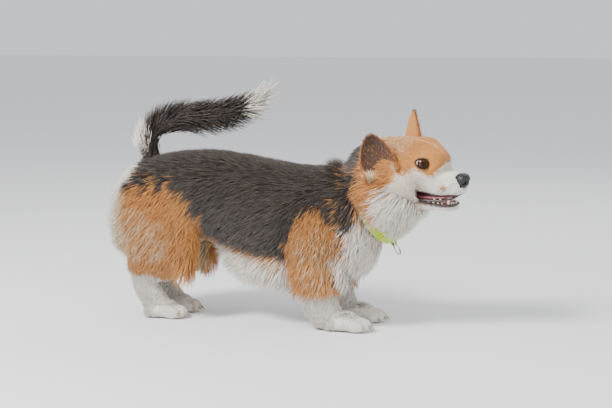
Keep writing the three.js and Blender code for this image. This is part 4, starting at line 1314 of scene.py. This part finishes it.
# %% Pieces of the body's coat
x, y, z = root.T
is_tail = tail_share > 0.5
is_leg = (z < 84) & ~is_tail
is_neck = (by_collar(root)[0] > 0) & (z > 130) & ~is_tail
is_rear = (x < -215) & ~is_leg & ~is_tail
is_trunk = ~(is_tail | is_leg | is_neck | is_rear)
groups = {
    "tail_brush": (is_tail, 3, "sable_coat"),
    "leg_coat": (is_leg, 2, "white_coat"),
    "neck_ruff": (is_neck, 3, "tan_coat"),
    "rump_and_thigh_coat": (is_rear & (long < 32), 2, "tan_coat"),
    "breeches": (is_rear & (long >= 32), 3, "white_coat"),
    "back_and_flank_coat": (is_trunk & (long < 30), 2, "sable_coat"),
    "bib_and_belly_fringe": (is_trunk & (long >= 30), 3, "white_coat"),
}
spots = wrap(x, -395, 190, np.arctan2(y, z - 205))
round_tail = wrap(tail_place, 0, 89, np.arctan2(y - 6, z - TAIL_PATH[tail_place, 2]))
hind, left = np.where(x > -150, 0.0, 1.0), 1.0 * (y > 0)
round_leg = wrap(z / 90, 0, 1, np.arctan2(np.abs(y) - 42, x - np.where(hind > 0, -312, 15))) * [0.5, 0.5]
round_leg = round_leg + 0.5 * np.stack([hind, left], 1)
spots = np.where(is_tail[:, None], round_tail, np.where(is_leg[:, None], round_leg, spots))
for name, (mask, rings, slot) in groups.items():
    index = np.flatnonzero(mask)
    shape = locks(root[index], out[index], lie[index], long[index], wide[index], rise[index], RNG, rings)
    shape[..., 2] = np.maximum(shape[..., 2], 0.5)
    pieces = shared_out(name, slot, len(index), rings)
    grow(pieces, np.arange(len(index)), shape, colour[index], spots[index], rings)

# %% [markdown]
# The face has the shortest hair. It runs back from the nose, up between the eyes and out over the
# cheeks, where it lengthens into the ruff. None grows on the eyes, the nose, the lips or in the mouth.

# %% Roots on the head
x = to_head(tri_middle)[:, 0]
density = (0.55 + 1.1 * step(60, 100, x) + 0.8 * step(110, 130, x)) * (x > -34)
root, out = scatter(skin_points, skin_tris, tri_of_head * density, HEAD_ROOTS, RNG, skin_normals)
q, m = to_head(root), unit(out) @ HEAD_TURN
x, y, z = q.T
a = np.abs(y)
bald = (x > 153) & (a < 14.5) & (z > -19)
bald |= (m[:, 2] < -0.62) & (x > 90) & (z > -45) & (a < 26)
bald |= (m[:, 2] > 0.45) & (x > 86) & (z < -40)
for side in SIDES.values():
    openings, front = round_eye(q, side, 11.2, 8.6)
    bald |= (openings < 1) & (front > -2)
    for path, _ in LIPS:
        line = along_rows(path * [1, side, 1], np.linspace(0, 1, 60))
        bald |= np.linalg.norm(q[:, None] - line[None], axis=2).min(1) < 2.4
bald |= by_collar(root)[0] < 12
q, m = q[~bald], m[~bald]
print("locks on the head:", len(q))

# %% [markdown]
# Over the face the hair is a few millimetres long. Round the eyes it is shortest and runs away from them.

# %% Coat of the head
x, y, z = q.T
brow_lift = 0.45 * step(96, 112, x) * (z > 5) - 0.55 * step(10, -20, z)
lie = np.column_stack([0 * x - 1, 0.25 * np.sign(y) * np.minimum(np.abs(y) / 20, 1), brow_lift])
cheek = step(66, 40, x) * step(30, 0, z)
nape = step(44, 14, x) * step(-50, -10, z)
long = 3.2 + 3.2 * step(128, 100, x) + 3 * step(86, 56, x) + 14 * cheek
long = long + 4 * step(-50, -62, z) * step(110, 70, x) + 24 * nape
rise = 0.9 + 0.9 * step(120, 96, x) + 1.2 * step(84, 50, x) + 6 * cheek + 4 * nape
wide = 0.44 + 0.5 * nape + 0.08 * step(120, 90, x) + 0.18 * cheek + 0.08 * step(80, 50, x)
for side in SIDES.values():
    away = q - EYE_AT * [1, side, 1]
    distance = np.linalg.norm(away, axis=1)
    lie = blend_in(lie, bell(distance / 17), unit(away * [1, 1, 0.6]) + [-0.7, 0, 0])
    tight = step(24, 12, distance)
    long, rise, wide = blend_in(long, tight, 2.2), blend_in(rise, tight, 0.5), blend_in(wide, tight, 0.4)
colour = hair_colours(head_marks(q), RNG)
shape = locks(q, m, lie, long, wide, rise, RNG, 2, 4.0, 0.12, 0.06)
shape = from_head(shape.reshape(-1, 3)).reshape(shape.shape)
pieces = [("face_coat_back", "tan_coat"), ("face_coat_middle", "white_coat")]
grow(pieces, np.argsort(x), shape, colour, wrap(x, -30, 172, np.arctan2(y, z + 6)), 2)

# %% [markdown]
# An ear is nearly bare inside towards the tip, velvety outside, and has longer pale hair that grows out of
# its base, across the opening. The rim is a darker red.

# %% Coat of the ears
def ear_marks(v, edge, inner):
    """Shares on an ear: tan outside with a darker rim, dark within the upper cup, cream at its base."""
    aside = np.abs(edge)
    layers = [
        (0.75 * step(0.7, 0.95, aside) * ~inner, "rust"),
        (inner * step(1.0, 0.8, aside) * 0.86, "black"),
        (inner * step(0.84, 0.97, aside) * 0.9, "rust"),
        (inner * step(0.3, 0.12, v) * step(1.0, 0.8, aside), "cream"),
    ]
    return layered("tan", layers)


def grow_ear(name, ear, mesh):
    """Marks one ear's skin and sets its coat, longest at the base of the opening."""
    tris, normals = triangles(mesh), read(mesh.vertices, "normal", 3) @ HEAD_TURN
    points = to_head((read(mesh.vertices, "co", 3) - SHIFT) * 1000)
    v, edge = (np.tile(grid.ravel(), 2) for grid in (UP_EAR, ACROSS_EAR))
    within = np.arange(len(points)) >= len(points) // 2
    floats(mesh, "coat", skin_colours(ear_marks(v, edge, within)), "FLOAT_COLOR")
    floats(mesh, "up_the_ear", v)
    floats(mesh, "within", within)
    sheet = within[tris].sum(1)
    weight = np.where(sheet == 0, 1.0, np.where(sheet == 3, 1.1, 2.0)) * (v[tris].mean(1) > 0.12)
    rng = np.random.default_rng(77 + ear["side"])
    places = np.column_stack([v, edge, within])
    q, m, places = scatter(points, tris, weight, EAR_ROOTS, rng, normals, places)
    v, edge, within = places[:, 0], places[:, 1], places[:, 2] > 0.5
    up, opening = (unit(np.array(ear[key], float)) for key in ("tip", "open"))
    lie = up + 0.35 * opening * within[:, None]
    base = within * step(0.34, 0.14, v)
    rim = np.abs(edge) > 0.93
    long = 4.2 + 4 * within + 3.5 * rim * step(0.9, 0.4, v) + 22 * base * step(0.0, 1.0, np.abs(edge)) ** 0.5
    long = long + 8 * step(0.3, 0.1, v) * ~within
    rise = 0.8 + 5 * base + 1.5 * step(0.3, 0.1, v)
    colour = hair_colours(ear_marks(v, edge, within), rng)
    shape = locks(q, unit(m), lie, long, 0.5 + 0.45 * base, rise, rng, 2, 5.0, 0.15, 0.1)
    shape = from_head(shape.reshape(-1, 3)).reshape(shape.shape)
    spot = np.stack([0.02 + 0.46 * (edge + 1) / 2 + 0.5 * within, 0.02 + 0.96 * v], 1)
    grow([("coat_of_" + name, "tan_coat")], np.arange(len(q)), shape, colour, spot, 2)


for name, ear in EARS.items():
    grow_ear(name, ear, ear_pieces[name].data)
print("pieces of coat:", len(coat), "with", sum(len(thing.data.polygons) for thing, _ in coat), "triangles")

# %% [markdown]
# Whiskers are single stiff hairs that grow from small dots on the lip.

# %% Whiskers
WHISKERS_EACH_SIDE = 11
whisker_parts = []
rng = np.random.default_rng(5)
for side in SIDES.values():
    for k in range(WHISKERS_EACH_SIDE):
        row, place = divmod(k, 4)
        dot = np.array([158 - 4.2 * place - 2 * row, side * (12 + 2.6 * place + 1.2 * row), -10 - 4.4 * row])
        long = rng.uniform(26, 40)
        t = np.linspace(0, 1, 12)[:, None]
        way = unit(np.array([-0.25 + 0.25 * rng.normal(), side * 1.0, -0.15 + 0.2 * rng.normal()]))
        path = dot + long * (t * way + t**2 * np.array([-0.35, 0, -0.22]))
        radius = 0.24 * (1 - 0.9 * t)
        whisker_parts.append(closed(loft(np.hstack([path, radius, radius, radius]), UPRIGHT, 12, 6, 1.0)))
whiskers = piece("whiskers", whisker_parts)
print(len(whisker_parts), "whiskers")

# %% [markdown]
# Materials. One function adds a node with its settings and links, another starts a Principled surface.
# Colours that change over a piece come from attributes or Object coordinates, so they stay with it. A
# pattern's scale is worked out from the size of one cell of it on the real thing, in millimetres.

# %% Material tools
def add(tree, kind, settings=None, **links):
    """Adds one node. Settings are its own properties or socket values; links join other nodes' sockets to it."""
    node = tree.nodes.new("ShaderNode" + kind)
    for key, value in (settings or {}).items():
        if isinstance(key, int) or key in node.inputs:
            node.inputs[key].default_value = value
        else:
            setattr(node, key, value)
    for key, value in links.items():
        numbered = key[0] == "i" and key[1:].isdigit()
        tree.links.new(value, node.inputs[int(key[1:]) if numbered else key.replace("_", " ")])
    return node


def material(name, colour, roughness, metallic=0.0, **more):
    """A Principled surface with its uniform values on its own sockets."""
    made = bpy.data.materials.new(name)
    made.use_nodes = True
    shader = made.node_tree.nodes["Principled BSDF"]
    values = {"Base Color": (*linear(colour), 1), "Roughness": roughness, "Metallic": metallic}
    values.update({key.replace("_", " "): value for key, value in more.items()})
    for key, value in values.items():
        shader.inputs[key].default_value = value
    return made, made.node_tree, shader


def cells(tree, kind, size, settings=None):
    """A pattern in Object coordinates whose cells are so many millimetres wide: scale = 1000 / size."""
    place = add(tree, "TexCoord").outputs["Object"]
    return add(tree, kind, {"Scale": 1000 / size, **(settings or {})}, Vector=place)


def paint(tree, shader, colour):
    """Joins a colour that changes over the piece to the surface."""
    tree.links.new(colour, shader.inputs["Base Color"])


def attribute(tree, name):
    """A number or colour that a mesh stores for each point."""
    return add(tree, "Attribute", {"attribute_name": name})


def ramp(tree, source, stops):
    """A colour ramp with sRGB hex stops."""
    node = add(tree, "ValToRGB", {}, Fac=source)
    bar = node.color_ramp.elements
    while len(bar) < len(stops):
        bar.new(0.5)
    for element, (place, code) in zip(bar, stops):
        element.position = place
        element.color = (*linear(code), 1)
    return node


def bumped(tree, shader, height, distance, strength=1.0):
    """Turns a height into a bump on the shader."""
    node = add(tree, "Bump", {"Strength": strength, "Distance": distance}, Height=height)
    tree.links.new(node.outputs["Normal"], shader.inputs["Normal"])


def mottled(name, colour, roughness, size, stops, detail=2.0, bump=0.0, **more):
    """A surface whose colour wanders between stops as a noise of a given size, with a bump that follows it."""
    made, tree, shader = material(name, colour, roughness, **more)
    tone = cells(tree, "TexNoise", size, {"Detail": detail}).outputs["Fac"]
    paint(tree, shader, ramp(tree, tone, stops).outputs[0])
    if bump:
        bumped(tree, shader, tone, bump)
    return made, tree, shader


def dressed(thing, made):
    """Gives a piece its material and its ride."""
    thing.data.materials.clear()
    thing.data.materials.append(made)
    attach(thing, "root")


print("material tools are ready")

# %% [markdown]
# Dog hair is keratin: each hair is a smooth, faintly glossy rod, darker at the root in the sable parts and
# paler at its tip. Every lock is drawn darker at its root and paler at its tip. This is partly that tone of the hair
# and partly painted shade where the coat shades its own roots. The skin under it carries the same markings,
# darkened as painted shade of the coat over it, and a fine bump of short hair.

# %% Hair and hide
def lit_coat(tree, shader, shade, size, low, high):
    """The coat's own colour, made lighter and darker by a noise of a given size, and by a painted shade where one is
    given.
    """
    noise = cells(tree, "TexNoise", size, {"Detail": 2.0}).outputs["Fac"]
    limits = {"From Min": 0.3, "From Max": 0.7, "To Min": low, "To Max": high}
    level = add(tree, "MapRange", limits, Value=noise).outputs[0]
    if shade:
        level = add(tree, "Math", {"operation": "MULTIPLY"}, i0=shade, i1=level).outputs[0]
    colour = attribute(tree, "coat").outputs["Color"]
    paint(tree, shader, add(tree, "VectorMath", {"operation": "SCALE"}, i0=colour, Scale=level).outputs[0])


# Keratin: a lock is dull, with a little shine across it and a soft glow at its edge. Flecks are 4 mm.
look = {"Sheen_Weight": 0.12, "Sheen_Roughness": 0.5, "Specular_IOR_Level": 0.35}
hair, tree, shader = material("dog_guard_hair", "#808080", 0.6, **look)
along = attribute(tree, "along").outputs["Fac"]
# Painted shade: each lock darker towards the skin, where the coat shades it, and partly the hair's own darker root.
root_shade = add(tree, "MapRange", {"To Min": 0.62, "To Max": 1.08}, Value=along).outputs[0]
lit_coat(tree, shader, root_shade, 3.846, 0.85, 1.12)

# Hide under short hair: matt, mottled every 11 mm, with a bump of 1 mm as fine hair gives.
hide, tree, shader = material("short_haired_hide", "#a08060", 0.8, Sheen_Weight=0.15, Specular_IOR_Level=0.25)
lit_coat(tree, shader, None, 11.11, 0.8, 1.1)
bumped(tree, shader, cells(tree, "TexNoise", 1.111, {"Detail": 3.0}).outputs["Fac"], 0.0006)
print("made", hair.name, "and", hide.name)

# %% [markdown]
# The skin is dark where no hair covers it: round the eyes, in the mouth and beside the nose.

# %% Skin
rgb = skin_colours(marks)
q = to_head(skin_points)
x, y, z = q.T
for side in SIDES.values():
    openings, front = round_eye(q, side, 12.4, 9.8)
    dark = (step(1.12, 0.95, openings) * (front > 0) * of_head)[:, None]
    rgb[:, :3] = rgb[:, :3] * (1 - dark) + linear("#17110f") * dark
facing = skin_normals @ HEAD_TURN[:, 2]
in_mouth = of_head & (x > 84) & (np.abs(y) < 26) & (z < -26) & (z > -47) & (np.abs(facing) > 0.6)
rgb[in_mouth, :3] = linear("#4a2226")
rgb[of_head & (x > 158) & (np.abs(y) < 13) & (z > -17), :3] = linear("#151213")
floats(skin.data, "coat", rgb, "FLOAT_COLOR")
dressed(skin, hide)
FLESH = ["torso", "neck", "head", "jaw", "tail_root", "tail_middle", "tail_tip"]
FLESH += [part + "_" + side for side in SIDES for part in ("foreleg", "forepaw", "thigh", "hock", "hindpaw")]
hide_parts(*FLESH)
for thing, slot in coat:
    dressed(thing, hair)
print("the skin stands for", len(FLESH), "nodes")

# %% [markdown]
# Inside an ear the skin is nearly bare and pinkish brown; outside it is covered like the head.

# %% Ear leather
# Thin leather: soft, a little glossy where it is bare, with a grain of 1.4 mm.
ear_hide, tree, shader = material("ear_hide", "#b07a50", 0.65, Sheen_Weight=0.2, Specular_IOR_Level=0.3)
stops = [(0.0, "#7a4a40"), (0.2, "#a5745c"), (0.42, "#573626"), (0.95, "#3b2419")]
bare = ramp(tree, attribute(tree, "up_the_ear").outputs["Fac"], stops).outputs[0]
covered, within = attribute(tree, "coat").outputs["Color"], attribute(tree, "within").outputs["Fac"]
paint(tree, shader, add(tree, "Mix", {"data_type": "RGBA"}, i0=within, i6=covered, i7=bare).outputs[2])
bumped(tree, shader, cells(tree, "TexNoise", 1.4286).outputs["Fac"], 0.0005)
for name, thing in ear_pieces.items():
    dressed(thing, ear_hide)
    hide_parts(name)
print("made", ear_hide.name)

# %% [markdown]
# A dog's eye: black pupil, brown iris with fine rays, a dark ring, and a clear wet surface over all.

# %% Eye
EYE_BANDS = [
    (0.0, "#050404"),
    (0.235, "#070504"),
    (0.262, "#3c1c0c"),
    (0.40, "#6b3814"),
    (0.52, "#3a1c0c"),
    (0.56, "#0d0706"),
    (0.64, "#1a0f0c"),
    (0.70, "#b9a08f"),
]  # pupil, iris, dark ring and white, by the angle from the gaze in right angles
# Wet glass: very smooth, so the sky of the studio shows as one clear glint.
glass, tree, shader = material("wet_brown_eye", "#2a1408", 0.06, Specular_IOR_Level=0.35, IOR=1.38)
turned = add(tree, "CombineXYZ", {}, X=attribute(tree, "round").outputs["Fac"]).outputs[0]
ray = add(tree, "TexNoise", {"Scale": 14.0, "Detail": 4.0}, Vector=turned).outputs["Fac"]
spread = add(tree, "Math", {"operation": "MULTIPLY_ADD", 1: 0.10, 2: -0.05}, i0=ray).outputs[0]
right_angles = {"operation": "MULTIPLY_ADD", 1: 2 / np.pi}
where = add(tree, "Math", right_angles, i0=attribute(tree, "angle").outputs["Fac"], i2=spread).outputs[0]
paint(tree, shader, ramp(tree, where, EYE_BANDS).outputs[0])
for name, thing in eyes.items():
    dressed(thing, glass)
    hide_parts("eye_" + name)
print("made", glass.name)

# %% [markdown]
# Nose, lips, tongue and gums are wet skin, and differ in colour, gloss and grain. A nose is covered by
# small flat cells, a tongue by fine dots. Teeth and claws are smoother and harder.

# %% Nose, mouth, claws and whiskers
# Moist leather: dark, with a broad soft glint broken up by cells of 1.1 mm.
stops = [(0.3, "#080708"), (0.7, "#161417")]
leather, tree, shader = mottled("moist_nose_leather", "#100e11", 0.33, 6.667, stops, Specular_IOR_Level=0.55)
dents = cells(tree, "TexVoronoi", 1.111, {"feature": "DISTANCE_TO_EDGE"}).outputs["Distance"]
bumped(tree, shader, add(tree, "MapRange", {"From Max": 0.25}, Value=dents).outputs[0], 0.0003, 0.45)

# Lip: nearly black and wet, so its edge catches a thin line of light.
stops = [(0.35, "#120d0d"), (0.75, "#3a2625")]
look = {"Coat_Weight": 0.25, "Coat_Roughness": 0.2}
lip_skin, *_ = mottled("dark_lip", "#1c1414", 0.34, 4.545, stops, 3.0, 0.0006, **look)

# Tongue: pink and wet, light passes a little way in, and dots of 0.7 mm dull its shine.
stops = [(0.3, "#cf8b8e"), (0.7, "#e8b9b8")]
look = {"Coat_Weight": 0.3, "Coat_Roughness": 0.2, "Subsurface_Weight": 0.2, "Subsurface_Scale": 0.004}
moist, tree, shader = mottled("moist_tongue", "#c77d80", 0.38, 8.333, stops, **look)
bumped(tree, shader, cells(tree, "TexVoronoi", 0.7143).outputs["Distance"], 0.0003, 0.6)

# Gum: darker and lumpier than the tongue.
stops = [(0.3, "#6d3438"), (0.7, "#a8656a")]
gum_skin, *_ = mottled("gum_and_palate", "#8d4b4e", 0.45, 11.11, stops, bump=0.0008, Coat_Weight=0.2)

# Enamel: ivory and glossy, with a faint depth.
stops = [(0.3, "#e6d9bd"), (0.7, "#f5efe2")]
look = {"Coat_Weight": 0.3, "Subsurface_Weight": 0.15, "Subsurface_Scale": 0.002}
enamel, *_ = mottled("tooth_enamel", "#efe6d2", 0.25, 6.25, stops, **look)

# Horn: fibres of 2 mm across and 11 mm along a claw show as pale streaks.
horn, tree, shader = material("claw_horn", "#8d7b69", 0.4, Coat_Weight=0.1)
place = add(tree, "TexCoord").outputs["Object"]
fibres = add(tree, "Mapping", {"Scale": (1000 / 11.11, 1000 / 2, 1000 / 2)}, Vector=place).outputs[0]
tone = add(tree, "TexNoise", {"Scale": 1.0, "Detail": 3.0}, Vector=fibres).outputs["Fac"]
paint(tree, shader, ramp(tree, tone, [(0.3, "#7b6a5b"), (0.7, "#c2b09a")]).outputs[0])

# Bristle: too thin to show more than its dark tone.
bristle, *_ = material("whisker_bristle", "#3d3733", 0.45)

for thing, made, slot, node in (
    (nose, leather, "nose_leather", "nose"),
    (lips, lip_skin, "nose_leather", None),
    (tongue, moist, "tongue", "tongue"),
    (palate, gum_skin, "tongue", None),
    (teeth, enamel, "white_coat", None),
    (claws, horn, "nose_leather", None),
    (whiskers, bristle, "sable_coat", None),
):
    dressed(thing, made)
    if node:
        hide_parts(node)
    print("made", made.name)

# %% [markdown]
# Nylon webbing is woven flat: a herringbone of ribs about 1 mm apart. The sheen is low and the ribs catch
# the light one by one. The slider is moulded, and the ring is plated and polished, dulled in patches.

# %% Collar materials
RIB = 0.952  # millimetres from rib to rib


def ribs(tree, direction, **more):
    """Bands of a wave: Blender's has a period of pi / 10 of its unit, so scale = 100 pi / rib."""
    settings = {"bands_direction": direction, **more}
    return cells(tree, "TexWave", RIB / (np.pi / 10), settings).outputs["Fac"]


# Woven nylon: bright, soft, with a faint sheen over its ribs.
nylon, tree, shader = material("woven_nylon_webbing", "#c3dc1f", 0.62, Sheen_Weight=0.3, Specular_IOR_Level=0.3)
weave = add(tree, "Math", {"operation": "MULTIPLY"}, i0=ribs(tree, "DIAGONAL", Distortion=0.4), i1=ribs(tree, "Z"))
paint(tree, shader, ramp(tree, weave.outputs[0], [(0.0, "#9db512"), (0.5, "#c6df22"), (1.0, "#e2f24a")]).outputs[0])
bumped(tree, shader, weave.outputs[0], 0.0003)

# Moulded acetal: waxy, with a spark-eroded grain of 1.7 mm, drawn coarser than the real one to show.
plastic, tree, shader = material("moulded_acetal", "#9fb51c", 0.42)
bumped(tree, shader, cells(tree, "TexNoise", 1.667).outputs["Fac"], 0.0001, 0.4)

# Nickel plate: a mirror, dulled in patches of 3 mm by handling.
nickel, tree, shader = material("nickel_plated_steel", "#cfcdc8", 0.2, 1.0)
worn = cells(tree, "TexNoise", 3.333).outputs["Fac"]
level = add(tree, "MapRange", {"To Min": 0.14, "To Max": 0.32}, Value=worn)
tree.links.new(level.outputs[0], shader.inputs["Roughness"])

dressed(webbing, nylon)
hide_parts("collar")
dressed(slider, plastic)
dressed(keeper, nylon)
dressed(split_ring, nickel)
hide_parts("collar_ring")
print("made", nylon.name, plastic.name, nickel.name)

# %% [markdown]
# The camera stands in front and to the dog's right, a little above it, as far off as the photograph's
# perspective asks. Light comes from a large soft source high on the left, with a weak one on the right.

# %% Camera, floor and light
AZ, EL, AWAY = np.radians(19.0), np.radians(6.5), 2560.0
AIM = np.array([0.0, -62.0, 220.0])
STUDIO_AIM = (0, 0, 0.2)


def facing_back(way):
    """The turn of a camera or lamp that looks against a direction: its Z axis lies along it."""
    return Vector(way).to_track_quat("Z", "Y").to_euler()


back = np.array([np.sin(AZ) * np.cos(EL), -np.cos(AZ) * np.cos(EL), np.sin(EL)])
camera = bpy.data.objects.new("camera", bpy.data.cameras.new("camera"))
camera.data.lens = 87.55
camera.data.sensor_width = 36
camera.location = metres(AIM + AWAY * back)
camera.rotation_euler = facing_back(back)
bpy.context.scene.collection.objects.link(camera)
bpy.context.scene.camera = camera

floor = new_mesh("floor", [[-30, -30, 0], [30, -30, 0], [30, 30, 0], [-30, 30, 0]], [[0, 1, 2, 3]])
paper, *_ = material("pale_paper", "#efefee", 0.9)
floor.data.materials.append(paper)


def light(name, power, size, place):
    """A square soft light that looks at the middle of the dog."""
    lamp = bpy.data.lights.new(name, "AREA")
    lamp.energy = power
    lamp.size = size
    thing = bpy.data.objects.new(name, lamp)
    thing.location = place
    thing.rotation_euler = facing_back(Vector(place) - Vector(STUDIO_AIM))
    bpy.context.scene.collection.objects.link(thing)


light("key", 150, 0.9, (-1.1, -1.9, 2.3))
light("fill", 20, 2.0, (2.2, -1.2, 1.2))
light("rim", 14, 1.2, (0.4, 2.2, 1.8))
world = bpy.data.worlds.new("studio")
bpy.context.scene.world = world
world.use_nodes = True
world.node_tree.nodes["Background"].inputs[0].default_value = (0.93, 0.95, 1.0, 1)
world.node_tree.nodes["Background"].inputs[1].default_value = 0.95
print("the camera stands", AWAY / 1000, "m away")
